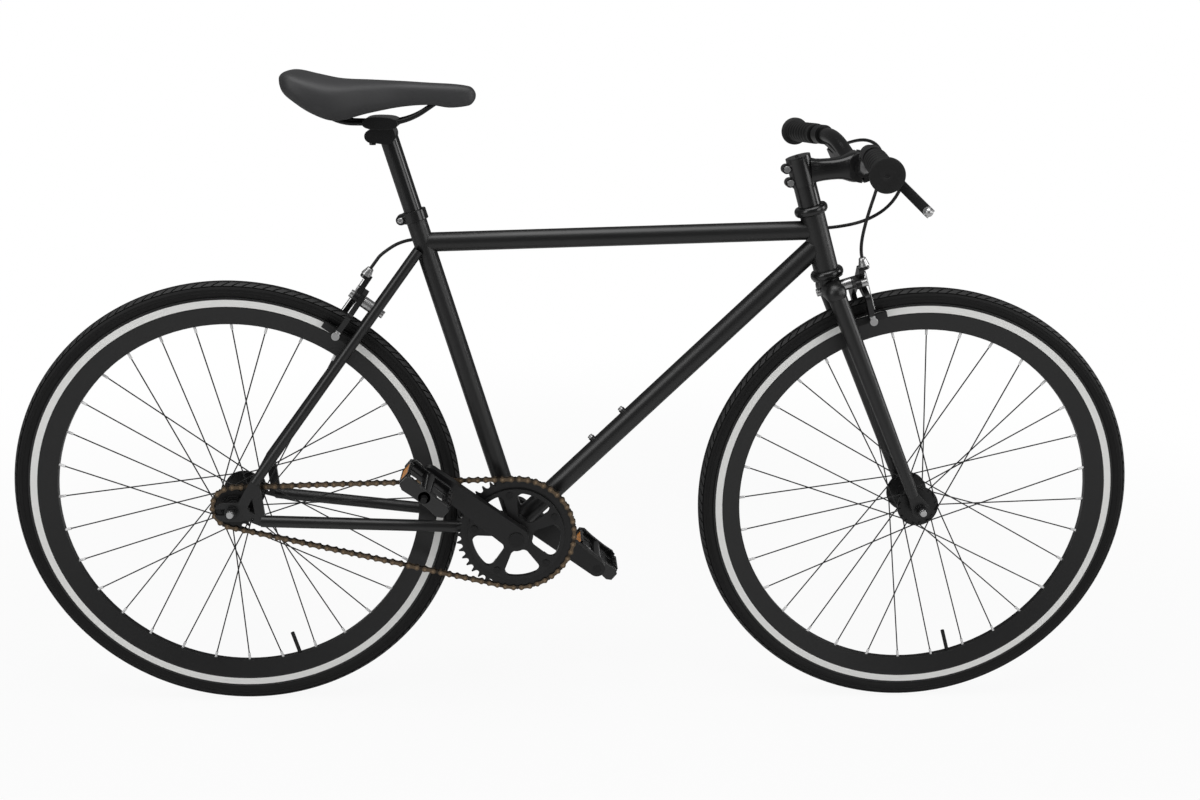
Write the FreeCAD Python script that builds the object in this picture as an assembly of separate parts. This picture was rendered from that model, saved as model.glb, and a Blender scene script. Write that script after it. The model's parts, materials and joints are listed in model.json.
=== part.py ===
import FreeCAD, Part
import math
import os

# Fixed gear bicycle with a diamond frame, a single speed chain drive and rim brakes.
# Millimetres and degrees. X points forward, Y to the rider's left, Z up.
# The origin lies on the ground, midway between the wheel axles.

V = FreeCAD.Vector
LEFT = V(0, 1, 0)
UP = V(0, 0, 1)
ORIGIN = V(0, 0, 0)
FULL_TURN = 360.0

# Layout
tyre_to_tyre = 370.0
bottom_bracket_drop = 42.0
head_angle = 72.5
seat_angle = 72.7
fork_rake = 43.5
crown_above_rim = 67.0
head_tube_length = 88.0
seat_tube_length = 512.0

# Clearances
running_gap = 0.3
bearing_gap = 0.05
fit_gap = 0.1
overrun = 40.0

# Wheels
bead_seat_radius = 311.0
tyre_height = 29.0
tyre_width = 28.0
tyre_wall = 3.0
tyre_bead_width = 2.5
inner_tube_wall = 1.0
rim_width = 24.0
rim_flange = 6.0
rim_depth = 42.0
rim_wall = 2.0
rim_nose_width = 9.0
rim_track_depth = 16.0
rim_well_depth = 4.0
rim_well_width = 12.0
valve_radius = 3.0
valve_length = 36.0
valve_space = 6
spoke_count = 32
spoke_crosses = 3
spoke_radius = 1.0
spoke_head_radius = 2.0
spoke_head_depth = 1.5
spoke_elbow_offset = 1.9
spoke_stagger = 1.0
nipple_radius = 2.0
nipple_length = 13.0
nipple_seat_depth = 3.5

# Hubs and axles
hub_barrel_radius = 15.0
hub_end_radius = 13.0
flange_radius = 32.0
flange_thickness = 3.2
flange_hole_inset = 3.4
axle_radius = 4.9
hub_bearing_radius = 10.0
hub_bearing_width = 7.0
front_dropout_spacing = 100.0
rear_dropout_spacing = 120.0
front_flange_spacing = 68.0
rear_flange_spacing = 64.0
axle_stub = 3.5
locknut_width = 5.0
locknut_radius = 8.5
axle_nut_width = 9.0
axle_nut_across_flats = 15.0
axle_washer_radius = 10.5
axle_washer_width = 1.6

# Chain drive
chain_pitch = 12.7
tyre_to_bracket = 86.0
ring_teeth = 44
cog_teeth = 16
chain_line = 45.0
roller_radius = 3.88
roller_seat_gap = 0.17
tooth_height = 3.4
tooth_tip_width = 1.8
tooth_seat_angle = 70.0
sprocket_thickness = 2.2
chain_inner_width = 3.4
chain_plate_thickness = 1.0
chain_plate_height = 8.4
chain_plate_gap = 0.1
chain_pin_radius = 1.8
chain_pin_stub = 0.4
chain_pin_gap = 0.03
lockring_width = 4.0
lockring_radius = 20.0
cog_carrier_radius = 17.0

# Frame tubes
head_tube_radius = 18.5
head_tube_wall = 1.6
top_tube_radius = 14.3
top_tube_wall = 1.2
top_tube_below_head_top = 26.0
top_tube_seat_height = 463.0
down_tube_radius = 15.9
down_tube_wall = 1.2
down_tube_above_head_end = 42.0
seatpost_radius = 13.6
seat_tube_wall = 1.4
shell_radius = 20.0
shell_width = 68.0
shell_bore = 17.2
chainstay_radius = 9.0
chainstay_wall = 1.2
chainstay_spread = 22.0
seatstay_radius = 7.5
seatstay_wall = 1.1
seatstay_top_height = 455.0
seatstay_spread = 14.5
seatstay_setback = 9.0
bridge_radius = 7.0
chainstay_bridge_reach = 46.0
boss_radius = 5.0
boss_height = 4.0
boss_spacing = 64.0
boss_from_bracket = 181.0
bottle_bolt_radius = 2.4
bottle_bolt_head_radius = 4.2
bottle_bolt_head_height = 3.2
bottle_bolt_length = 14.0
cable_guide_radius = 4.4
cable_guide_length = 12.0
cable_guide_shares = (0.16, 0.5, 0.86)

# Rear dropouts
dropout_thickness = 6.0
dropout_slot_length = 22.0
dropout_boss_radius = 15.0
chainstay_end_reach = 43.0
chainstay_end_rise = -15.0
seatstay_end_reach = 36.0
seatstay_end_rise = 46.0
dropout_arm_radius = 7.0
dropout_strut_radius = 8.0
eyelet_reach = 30.0
eyelet_rise = -11.0
eyelet_radius = 2.5

# Fork
steerer_radius = 14.3
steerer_wall = 2.0
crown_radius = 16.0
crown_spread = 36.0
crown_drop = 18.0
blade_top_radius = 14.0
blade_tip_radius = 8.6
blade_tip_height = 26.0
blade_tip_behind_axle = 6.0
blade_wall = 1.4
fork_dropout_thickness = 5.5
fork_dropout_radius = 14.0
fork_dropout_arm_radius = 8.0

# Headset and stem
cup_radius = 22.5
lower_cup_height = 13.0
upper_cup_height = 12.0
cup_skirt_depth = 10.0
cup_skirt_wall = 1.2
headset_bearing_width = 7.0
headset_bearing_radius = 18.5
spacer_radius = 17.0
spacer_height = 32.0
stem_clamp_height = 40.0
stem_clamp_radius = 18.5
stem_reach = 84.0
stem_drop = 17.0
stem_arm_radius = 14.5
stem_arm_end_radius = 13.0
stem_ear_width = 15.0
stem_bolt_radius = 2.5
stem_bolt_head_radius = 4.5
stem_bolt_head_height = 5.0
stem_ear_radius = 7.0
stem_slot = 2.0
stem_bolt_shares = (0.24, 0.76)
bar_clamp_width = 46.0
bar_clamp_wall = 6.0
bar_clamp_height = 44.0
faceplate_gap = 3.0
top_cap_height = 3.5
top_cap_bolt_radius = 4.0
top_cap_bolt_height = 2.0
bar_clamp_bolt_spread = 15.0

# Handlebar, grips and levers
bar_radius = 11.1
bar_bulge_radius = 12.7
bar_bulge_width = 70.0
bar_wall = 2.0
bar_half_width = 315.0
bar_rise = 34.0
bar_bend_start = 44.0
bar_bend_end = 108.0
bar_bend_back = 16.0
bar_end_back = 39.0
bar_end_drop = 11.0
grip_length = 122.0
grip_radius = 16.0
grip_flange_radius = 22.5
grip_flange_width = 6.0
grip_collar_radius = 18.0
grip_end_wall = 4.0
lever_angle = -40.0
lever_splay = 34.0
lever_pull = 22.0
lever_pivot_reach = 31.0
perch_width = 24.0
perch_wall = 4.0
perch_from_grip = 16.0
perch_arm_height = 14.0
lever_length = 112.0
lever_root_width = 13.0
lever_tip_width = 9.0
lever_thickness = 8.0
lever_blade_height = 13.0
lever_ball_radius = 6.0
lever_pivot_radius = 2.5
lever_boss_radius = 7.0
perch_barrel_length = 22.0
perch_barrel_radius = 4.5

# Rim brakes
brake_reach = 58.0
brake_stand_off = 16.0
brake_arm_thickness = 8.0
brake_arm_radius = 7.0
brake_bolt_radius = 3.0
brake_boss_radius = 9.0
brake_nut_radius = 6.0
brake_nut_width = 6.0
brake_shoulder_reach = 35.0
brake_shoulder_drop = 22.0
pad_gap = 2.0
pad_thickness = 8.0
pad_height = 10.0
pad_length = 50.0
pad_bolt_radius = 3.0
pad_bolt_head_radius = 6.0
pad_bolt_head_width = 4.0
cable_side_reach = 34.0
adjuster_height = 40.0
adjuster_radius = 5.0
adjuster_length = 16.0
anchor_rise = 3.0
cable_proud = 2.0
anchor_radius = 6.0
wire_radius = 0.8
wire_tail = 44.0
wire_gap = 4.0

# Cables
cable_radius = 2.5
cable_arc_share = 0.45
cable_lead = 14.0
loop_end_share = 0.89
loop_lead_share = 0.94
rear_bend_share = 0.08

# Bends of the cables, as offsets forward, left and up from the bar clamp, from the front and rear
# ends of the top tube and from the brakes' cable adjusters
front_bar_bends = ((16.4, 72.0, 33.2), (26.4, 24.0, 33.2), (30.4, -14.0, 20.2), (24.4, -32.0, -14.8))
front_brake_bend = (1.6, 0.0, 55.8)
loop_bar_bends = ((28.4, -98.0, 20.2), (45.4, -76.0, -1.8), (50.4, -50.0, -29.8), (40.4, -20.0, -59.8))
loop_head_bends = ((74.5, 10.0, 12.3), (40.5, 25.0, 1.3), (0.5, 27.0, -2.7))
rear_seat_bends = ((6.7, 26.0, 1.9), (-35.3, 31.0, -3.1))
rear_brake_bend = (16.6, 0.0, 22.5)

# Cranks and pedals
crank_length = 165.0
crank_angle = 142.0
crank_thickness = 15.0
crank_hub_radius = 19.0
crank_eye_radius = 13.5
crank_inner_face = 55.0
spindle_radius = 8.5
spindle_taper_width = 13.0
spindle_taper_length = 13.0
bracket_cup_depth = 20.0
bracket_cup_flange = 3.0
bracket_cup_flange_radius = 20.0
spider_bolt_radius = 65.0
spider_thickness = 5.0
spider_outer_radius = 74.0
spider_window_inner = 26.0
spider_window_outer = 68.0
spider_window_corner = 9.0
spider_arm_root = 7.0
spider_arm_tip = 10.0
spider_arms = 5
spider_lead = 29.0
ring_bore = 52.0
ring_bolt_radius = 4.0
ring_bolt_head_radius = 5.2
ring_bolt_head_height = 1.6
dust_cap_radius = 11.0
dust_cap_height = 2.0
pedal_axle_radius = 7.0
pedal_axle_end_radius = 4.5
pedal_axle_length = 96.0
pedal_stand_off = 9.0
pedal_width = 84.0
pedal_length = 80.0
pedal_height = 24.0
pedal_barrel_radius = 10.0
pedal_rail_thickness = 7.0
pedal_tilt = 40.0
reflector_thickness = 3.0
reflector_width = 44.0
reflector_height = 16.0

# Seat
seatpost_length = 300.0
seatpost_wall = 2.2
seatpost_rise = 115.0
seat_clamp_height = 16.0
seat_clamp_wall = 3.4
seat_clamp_ear_length = 9.0
seat_clamp_ear_width = 16.0
seat_clamp_slot = 3.0
seat_clamp_bolt_radius = 2.5
seat_clamp_bolt_head_radius = 4.5
post_head_radius = 13.0
post_head_width = 46.0
post_head_setback = 22.0
post_head_drop = 2.0
post_head_tail_radius = 9.0
rail_radius = 3.5
rail_spread = 21.0
rail_clamp_margin = 7.0
clamp_bolt_radius = 3.0
clamp_bolt_head_radius = 5.0
clamp_bolt_head_height = 5.0
rail_clamp_length = 50.0
rail_clamp_setback = 8.0
rail_clamp_height = 13.0
saddle_length = 277.0
saddle_width = 148.0
saddle_rise = 72.0
saddle_nose_ahead = 127.0
saddle_base_thickness = 5.0
saddle_base_embed = 1.5


def chain_links_needed(centres):
    """Links that wrap both sprockets with no slack at this distance between their centres."""
    lean = math.asin((ring_pitch_radius - cog_pitch_radius) / centres)
    run = centres * math.cos(lean) / chain_pitch
    return 2 * run + ring_teeth * (0.5 + lean / math.pi) + cog_teeth * (0.5 - lean / math.pi)


def taut_centres():
    """Distance from rear axle to bottom bracket that pulls the chain tight."""
    centres = chain_pitch * (chain_links - (ring_teeth + cog_teeth) / 2) / 2
    for _ in range(chain_links):
        centres += (chain_links - chain_links_needed(centres)) * chain_pitch / 2
    return centres


ring_pitch_radius = chain_pitch / 2 / math.sin(math.pi / ring_teeth)
cog_pitch_radius = chain_pitch / 2 / math.sin(math.pi / cog_teeth)
wheel_radius = bead_seat_radius + tyre_height
chain_links = 2 * math.ceil(chain_links_needed(wheel_radius + tyre_to_bracket) / 2)
chainstay_length = taut_centres()

rim_outer_radius = bead_seat_radius + rim_flange
rim_inner_radius = rim_outer_radius - rim_depth
rim_track_radius = rim_outer_radius - rim_track_depth / 2

wheelbase = wheel_radius * 2 + tyre_to_tyre
fork_length = rim_outer_radius + crown_above_rim
rear_axle_point = V(-wheelbase / 2, 0, wheel_radius)
front_axle_point = V(wheelbase / 2, 0, wheel_radius)
bracket_setback = math.sqrt(chainstay_length ** 2 - bottom_bracket_drop ** 2)
bracket_point = rear_axle_point + V(bracket_setback, 0, -bottom_bracket_drop)

head_lean = math.radians(head_angle)
seat_lean = math.radians(seat_angle)
steer_up = V(-math.cos(head_lean), 0, math.sin(head_lean))
steer_ahead = V(math.sin(head_lean), 0, math.cos(head_lean))
steer_foot = front_axle_point - steer_ahead * fork_rake
seat_up = V(-math.cos(seat_lean), 0, math.sin(seat_lean))
seat_ahead = V(math.sin(seat_lean), 0, math.cos(seat_lean))

# Heights along the steering axis, from the foot beside the front axle
head_low = fork_length + lower_cup_height
head_high = head_low + head_tube_length
upper_cup_top = head_high + upper_cup_height
spacer_low = upper_cup_top + running_gap
stem_low = spacer_low + spacer_height
stem_high = stem_low + stem_clamp_height
seat_tube_radius = seatpost_radius + bearing_gap + seat_tube_wall


def on_steerer(height, ahead=0, side=0):
    return steer_foot + steer_up * height + steer_ahead * ahead + LEFT * side


def on_seat_tube(height, ahead=0, side=0):
    return bracket_point + seat_up * height + seat_ahead * ahead + LEFT * side


def tube(start, end, radius, bore=0):
    """Round bar between two points, or a pipe where a bore is given."""
    run = end - start
    solid = Part.makeCylinder(radius, run.Length, start, run)
    if bore:
        solid = solid.cut(Part.makeCylinder(bore, run.Length, start, run))
    return solid


def cone(start, end, start_radius, end_radius):
    run = end - start
    return Part.makeCone(start_radius, end_radius, run.Length, start, run)


def ring(centre, axis, width, radius, bore):
    return tube(centre, centre + axis * width, radius, bore)


def hexagon(centre, axis, width, across_flats, bore=0):
    """Six sided nut standing on centre along axis."""
    side_axis = axis.cross(UP) if abs(axis.z) < abs(axis.y) + abs(axis.x) else axis.cross(LEFT)
    side_axis.normalize()
    up_axis = axis.cross(side_axis)
    corner = across_flats / math.sqrt(3)
    angles = [math.pi / 3 * step for step in range(7)]
    points = [centre + side_axis * corner * math.cos(a) + up_axis * corner * math.sin(a) for a in angles]
    solid = Part.Face(Part.makePolygon(points)).extrude(axis * width)
    if bore:
        solid = solid.cut(tube(centre, centre + axis * width, bore))
    return solid


def placement(origin, x_axis, y_axis):
    """Places a shape drawn on local axes; the third axis is x cross y."""
    z_axis = x_axis.cross(y_axis)
    matrix = FreeCAD.Matrix(x_axis.x, y_axis.x, z_axis.x, origin.x,
                            x_axis.y, y_axis.y, z_axis.y, origin.y,
                            x_axis.z, y_axis.z, z_axis.z, origin.z,
                            0, 0, 0, 1)
    return FreeCAD.Placement(matrix)


def placed(shape, where):
    moved = shape.copy()
    moved.Placement = where.multiply(moved.Placement)
    return moved


def mirrored(shape):
    """The same piece on the other side of the bicycle."""
    return shape.mirror(ORIGIN, LEFT)


def both_sides(shape):
    return [shape, mirrored(shape)]


def fused(shapes):
    return shapes[0].multiFuse(shapes[1:]).removeSplitter()


def largest(shape):
    return max(shape.Solids, key=lambda solid: solid.Volume)


def link_face(start, end, start_radius, end_radius):
    """Flat link in the local XY plane: two rounded ends joined by tangents."""
    run = end - start
    along = V(run.x, run.y, 0).normalize()
    across = V(-along.y, along.x, 0)
    lean = math.asin((start_radius - end_radius) / run.Length)
    normal = across * math.cos(lean) + along * math.sin(lean)
    mirror = across * -math.cos(lean) + along * math.sin(lean)
    edges = [
        Part.LineSegment(start + normal * start_radius, end + normal * end_radius).toShape(),
        Part.Arc(end + normal * end_radius, end + along * end_radius, end + mirror * end_radius).toShape(),
        Part.LineSegment(end + mirror * end_radius, start + mirror * start_radius).toShape(),
        Part.Arc(start + mirror * start_radius, start - along * start_radius,
                 start + normal * start_radius).toShape(),
    ]
    return Part.Face(Part.Wire(edges))


def link(start, end, start_radius, end_radius, low, high):
    face = link_face(start, end, start_radius, end_radius)
    face.translate(UP * low)
    return face.extrude(UP * (high - low))


def spun(points, holes=()):
    """Solid of revolution about Y from points given as (radius, y)."""
    face = Part.Face(Part.makePolygon([V(r, y, 0) for r, y in points + points[:1]]))
    for hole in holes:
        face = face.cut(Part.Face(Part.makePolygon([V(r, y, 0) for r, y in hole + hole[:1]])))
    return face.revolve(ORIGIN, LEFT, FULL_TURN)


def cord_path(points):
    """Straight runs joined by tangent arcs as wide as the runs allow."""
    edges = []
    radii = []
    start = points[0]
    for before, corner, after in zip(points, points[1:], points[2:]):
        into = corner - before
        out = after - corner
        reach = cable_arc_share * min(into.Length, out.Length)
        half_turn = into.getAngle(out) / 2
        into.normalize()
        out.normalize()
        radius = reach / math.tan(half_turn)
        middle = corner + (out - into).normalize() * (radius / math.cos(half_turn) - radius)
        edges.append(Part.LineSegment(start, corner - into * reach).toShape())
        edges.append(Part.Arc(corner - into * reach, middle, corner + out * reach).toShape())
        start = corner + out * reach
        radii.append(radius)
    edges.append(Part.LineSegment(start, points[-1]).toShape())
    return Part.Wire(edges), radii


def cable(name, points):
    path, radii = cord_path(points)
    circle = Part.Wire([Part.makeCircle(cable_radius, points[0], points[1] - points[0])])
    solid = path.makePipeShell([circle], True, False)
    share = solid.Volume / (math.pi * cable_radius ** 2 * path.Length)
    print(name, "length %.1f, volume share %.4f, radii" % (path.Length, share), [round(r) for r in radii])
    return solid


parts = {}


def keep(name, *shapes):
    """Collects the solids of one named node."""
    parts[name] = [solid for shape in shapes for solid in shape.Solids]


# Frame


def frame_cutters():
    """Filled outer forms of the tubes, for the mitres."""
    head = tube(on_steerer(head_low), on_steerer(head_high), head_tube_radius)
    seat = tube(bracket_point, on_seat_tube(seat_tube_length), seat_tube_radius)
    shell = tube(bracket_point - LEFT * shell_width / 2, bracket_point + LEFT * shell_width / 2, shell_radius)
    top = tube(top_tube_rear, top_tube_front, top_tube_radius)
    return head, seat, shell, top


top_tube_rear = on_seat_tube(top_tube_seat_height)
top_tube_front = on_steerer(head_high - top_tube_below_head_top)
down_tube_top = on_steerer(head_low + down_tube_above_head_end)
head_form, seat_form, shell_form, top_form = frame_cutters()


def make_head_tube():
    bore = head_tube_radius - head_tube_wall
    return tube(on_steerer(head_low), on_steerer(head_high), head_tube_radius, bore)


def make_seat_tube():
    top = on_seat_tube(seat_tube_length)
    pipe = tube(bracket_point, top, seat_tube_radius, seatpost_radius + bearing_gap)
    slot = Part.makeBox(seat_tube_radius * 2, seat_clamp_slot, seat_clamp_height * 2)
    slot_corner = on_seat_tube(seat_tube_length - seat_clamp_height * 2, 0, -seat_clamp_slot / 2)
    slot = placed(slot, placement(slot_corner, seat_ahead * -1, LEFT * -1))
    slot.translate(LEFT * seat_clamp_slot)
    return pipe.cut(shell_form).cut(slot)


def top_tube_guides():
    """Brazed loops that hold the rear brake cable along the left of the top tube."""
    along = (top_tube_front - top_tube_rear).normalize()
    loops = []
    for share in cable_guide_shares:
        start = top_tube_rear + (top_tube_front - top_tube_rear) * share + LEFT * rear_cable_side
        block = tube(start, start + along * cable_guide_length, cable_guide_radius)
        loops.append(block.cut(tube(start, start + along * cable_guide_length, cable_radius + fit_gap)))
    return [loop.cut(top_form) for loop in loops]


rear_cable_side = top_tube_radius + cable_radius + cable_guide_radius / 4


def make_top_tube():
    pipe = tube(top_tube_rear, top_tube_front, top_tube_radius, top_tube_radius - top_tube_wall)
    pipe = pipe.cut(head_form).cut(seat_form)
    return largest(pipe)


def boss_points():
    along = (down_tube_top - bracket_point).normalize()
    out = along.cross(LEFT)
    base = bracket_point + along * boss_from_bracket + out * down_tube_radius
    return [base, base + along * boss_spacing], out


def make_down_tube():
    pipe = tube(bracket_point, down_tube_top, down_tube_radius, down_tube_radius - down_tube_wall)
    for cutter in (head_form, top_form, shell_form, seat_form):
        pipe = pipe.cut(cutter)
    pipe = largest(pipe)
    points, out = boss_points()
    for point in points:
        pipe = pipe.fuse(tube(point - out * down_tube_wall * 2, point + out * boss_height, boss_radius))
    for point in points:
        top = point + out * boss_height
        pipe = pipe.cut(tube(top - out * bottle_bolt_length, top, bottle_bolt_radius))
    return pipe


def make_bottle_bolts():
    bolts = []
    points, out = boss_points()
    for point in points:
        seat = point + out * boss_height
        head = tube(seat, seat + out * bottle_bolt_head_height, bottle_bolt_head_radius)
        shank = tube(seat - out * bottle_bolt_length, seat, bottle_bolt_radius)
        socket = hexagon(seat + out * bottle_bolt_head_height / 2, out, bottle_bolt_head_height,
                         bottle_bolt_radius * 2)
        bolts.append(head.fuse(shank).cut(socket))
    return bolts


def make_shell():
    return ring(bracket_point - LEFT * shell_width / 2, LEFT, shell_width, shell_radius, shell_bore)


rear_plate_side = (rear_dropout_spacing + dropout_thickness) / 2
chainstay_end = rear_axle_point + V(chainstay_end_reach, 0, chainstay_end_rise)
seatstay_end = rear_axle_point + V(seatstay_end_reach, 0, seatstay_end_rise)


def make_dropout():
    """Right hand rear-facing track end, with arms that slot into the stays."""
    centre = rear_axle_point - LEFT * rear_dropout_spacing / 2
    back = V(dropout_slot_length / 2, 0, 0)
    chain_arm = V(chainstay_end_reach, chainstay_end_rise, 0)
    seat_arm = V(seatstay_end_reach, seatstay_end_rise, 0)
    eyelet = V(eyelet_reach, eyelet_rise, 0)
    shapes = [
        link(back * -1, back, dropout_boss_radius, dropout_boss_radius, 0, dropout_thickness),
        link(back, chain_arm, dropout_strut_radius, dropout_arm_radius, 0, dropout_thickness),
        link(back, seat_arm, dropout_strut_radius, dropout_arm_radius, 0, dropout_thickness),
        link(seat_arm, chain_arm, dropout_arm_radius, dropout_arm_radius, 0, dropout_thickness),
    ]
    slot = link(ORIGIN, V(-overrun, 0, 0), axle_radius + fit_gap, axle_radius + fit_gap, 0, dropout_thickness)
    hole = tube(eyelet, eyelet + UP * dropout_thickness, eyelet_radius)
    return placed(fused(shapes).cut(slot).cut(hole), placement(centre, V(1, 0, 0), UP))


def stay_ends():
    """Start and end of the right chainstay and of the right seatstay."""
    side = LEFT * -rear_plate_side
    low = (bracket_point - LEFT * chainstay_spread, chainstay_end + side)
    high = (on_seat_tube(seatstay_top_height, -seatstay_setback, -seatstay_spread), seatstay_end + side)
    return low, high


def make_stay(ends, radius, wall, cutters):
    pipe = tube(*ends, radius, radius - wall)
    for cutter in cutters:
        pipe = pipe.cut(cutter)
    return largest(pipe)


# The rear brake bridge sits where the brake's reach puts its pivot on the seatstays
seatstay_top = on_seat_tube(seatstay_top_height, -seatstay_setback)
stay_run = seatstay_end - seatstay_top
rear_brake_up = (seatstay_top - seatstay_end).normalize()
rear_brake_out = rear_brake_up.cross(LEFT)
rear_foot = (seatstay_top - rear_axle_point).dot(rear_brake_up)
rear_bridge_point = seatstay_top - rear_brake_up * (rear_foot - rim_track_radius - brake_reach)


def make_brake_bridge():
    share = (rear_bridge_point - seatstay_top).Length / stay_run.Length
    spread = seatstay_spread + (rear_plate_side - seatstay_spread) * share
    bar = tube(rear_bridge_point - LEFT * spread, rear_bridge_point + LEFT * spread, bridge_radius)
    drill = tube(rear_bridge_point - rear_brake_out * overrun, rear_bridge_point + rear_brake_out * overrun,
                 brake_bolt_radius + fit_gap)
    return bar.cut(drill)


def make_low_bridge():
    """Short tube between the chainstays, behind the bottom bracket."""
    run = chainstay_end - bracket_point
    share = chainstay_bridge_reach / run.Length
    middle = bracket_point + run * share
    spread = chainstay_spread + (rear_plate_side - chainstay_spread) * share
    return tube(middle - LEFT * spread, middle + LEFT * spread, bridge_radius, bridge_radius - chainstay_wall)


chainstay_ends, seatstay_ends = stay_ends()
dropout_right = make_dropout()
chainstay_right = make_stay(chainstay_ends, chainstay_radius, chainstay_wall, [shell_form, dropout_right])
seatstay_cutters = [seat_form, top_form, dropout_right]
seatstay_right = make_stay(seatstay_ends, seatstay_radius, seatstay_wall, seatstay_cutters)
low_bridge = make_low_bridge()
brake_bridge = make_brake_bridge()
for form in both_sides(tube(*chainstay_ends, chainstay_radius)):
    low_bridge = low_bridge.cut(form)
for form in both_sides(tube(*seatstay_ends, seatstay_radius)):
    brake_bridge = brake_bridge.cut(form)

keep("head_tube", make_head_tube())
keep("top_tube", make_top_tube(), *top_tube_guides())
keep("down_tube", make_down_tube())
keep("seat_tube", make_seat_tube())
keep("bottom_bracket_shell", make_shell())
keep("chainstays", *both_sides(chainstay_right), low_bridge)
keep("seatstays", *both_sides(seatstay_right), brake_bridge)
keep("rear_dropouts", *both_sides(dropout_right))
keep("bottle_cage_bolts", *make_bottle_bolts())


# Headset


def make_headset():
    """Pressed cups with a cartridge bearing ring in each."""
    bore = head_tube_radius - head_tube_wall
    pieces = []
    for end, out, height in ((head_low, -1, lower_cup_height), (head_high, 1, upper_cup_height)):
        axis = steer_up * out
        seat = on_steerer(end)
        cup = ring(seat, axis, height, cup_radius, headset_bearing_radius)
        throat = bore - cup_skirt_wall
        floor = ring(seat, axis, height - headset_bearing_width, headset_bearing_radius, throat)
        skirt = ring(seat - axis * cup_skirt_depth, axis, cup_skirt_depth, bore, throat)
        pieces.append(fused([cup, floor, skirt]))
        bearing_seat = seat + axis * (height - headset_bearing_width)
        pieces.append(ring(bearing_seat, axis, headset_bearing_width, headset_bearing_radius,
                           steerer_radius + bearing_gap))
    return pieces


keep("headset_cups", *make_headset())


# Seat clamp, at the top of the seat tube


def make_seat_clamp():
    low = seat_tube_length - seat_clamp_height
    outside = seat_tube_radius + seat_clamp_wall
    collar = ring(on_seat_tube(low), seat_up, seat_clamp_height, outside, seat_tube_radius)
    back = seat_tube_radius + seat_clamp_wall / 2
    ears = Part.makeBox(seat_clamp_ear_length + seat_clamp_wall / 2, seat_clamp_ear_width, seat_clamp_height)
    corner = on_seat_tube(low, -back, seat_clamp_ear_width / 2)
    ears = placed(ears, placement(corner, seat_ahead * -1, LEFT * -1))
    slot = Part.makeBox(back + seat_clamp_ear_length + seat_clamp_wall, seat_clamp_slot, seat_clamp_height)
    slot = placed(slot, placement(on_seat_tube(low, 0, seat_clamp_slot / 2), seat_ahead * -1, LEFT * -1))
    filled = tube(on_seat_tube(low), on_seat_tube(seat_tube_length), seat_tube_radius)
    hole_back = back + seat_clamp_ear_length / 2
    hole_at = on_seat_tube(low + seat_clamp_height / 2, -hole_back, -seat_clamp_ear_width / 2)
    hole_end = hole_at + LEFT * seat_clamp_ear_width
    shank = tube(hole_at, hole_end, seat_clamp_bolt_radius)
    clamp = collar.fuse(ears.cut(filled)).cut(slot).cut(shank)
    head = tube(hole_at, hole_at - LEFT * seat_clamp_bolt_head_radius, seat_clamp_bolt_head_radius)
    return clamp, shank.fuse(head)


keep("seat_clamp", *make_seat_clamp())


# Wheels, drawn about Y at the origin and moved to their axles


def make_rim():
    half = rim_width / 2
    inside = half - rim_wall
    nose = rim_nose_width / 2
    well = bead_seat_radius - rim_well_depth
    well_half = rim_well_width / 2
    shoulder = rim_outer_radius - rim_track_depth
    right = [(rim_inner_radius, nose), (shoulder, half), (rim_outer_radius, half), (rim_outer_radius, inside),
             (bead_seat_radius, inside), (well, well_half)]
    outline = right + [(r, -y) for r, y in reversed(right)]
    chamber = [(rim_inner_radius + rim_wall, nose - rim_wall / 2), (shoulder + rim_wall / 4, inside),
               (bead_seat_radius - rim_wall, inside), (well - rim_wall, well_half)]
    hollow = chamber + [(r, -y) for r, y in reversed(chamber)]
    return spun(outline, [hollow])


def tyre_face():
    """Tyre section: round casing on two beads that hook under the rim flanges."""
    casing = tyre_width / 2
    middle = wheel_radius - casing
    outer_bead = rim_width / 2 - rim_wall - fit_gap
    inner_bead = outer_bead - tyre_bead_width
    foot = bead_seat_radius + fit_gap
    ledge = rim_outer_radius + running_gap
    ledge_half = math.sqrt(casing ** 2 - (ledge - middle) ** 2)
    lining = casing - tyre_wall
    neck = middle - math.sqrt(lining ** 2 - inner_bead ** 2)
    edges = [Part.Arc(V(ledge, ledge_half, 0), V(wheel_radius, 0, 0), V(ledge, -ledge_half, 0)).toShape()]
    corners = [(ledge, -ledge_half), (ledge, -outer_bead), (foot, -outer_bead), (foot, -inner_bead),
               (neck, -inner_bead)]
    points = [V(r, y, 0) for r, y in corners]
    edges += [Part.LineSegment(a, b).toShape() for a, b in zip(points, points[1:])]
    crown = V(wheel_radius - tyre_wall, 0, 0)
    edges.append(Part.Arc(V(neck, -inner_bead, 0), crown, V(neck, inner_bead, 0)).toShape())
    points = [V(r, -y, 0) for r, y in reversed(corners)]
    edges += [Part.LineSegment(a, b).toShape() for a, b in zip(points, points[1:])]
    return Part.Face(Part.Wire(edges))


def make_tyre():
    return tyre_face().revolve(ORIGIN, LEFT, FULL_TURN)


def valve_direction():
    """Midway between two spoke holes."""
    angle = -(valve_space + 0.5) * 2 * math.pi / spoke_count
    return V(math.cos(angle), 0, math.sin(angle))


def make_inner_tube():
    """Tube inside the tyre, with its valve through the rim."""
    middle = wheel_radius - tyre_width / 2
    outer = tyre_width / 2 - tyre_wall - running_gap
    hollow = Part.makeTorus(middle, outer - inner_tube_wall, ORIGIN, LEFT)
    skin = Part.makeTorus(middle, outer, ORIGIN, LEFT)
    out = valve_direction()
    stem = tube(out * (rim_inner_radius - valve_length), out * middle, valve_radius)
    return skin.fuse(stem).cut(hollow)


def valve_drill():
    out = valve_direction()
    return tube(out * (rim_inner_radius - valve_length), out * bead_seat_radius, valve_radius + fit_gap)


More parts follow.
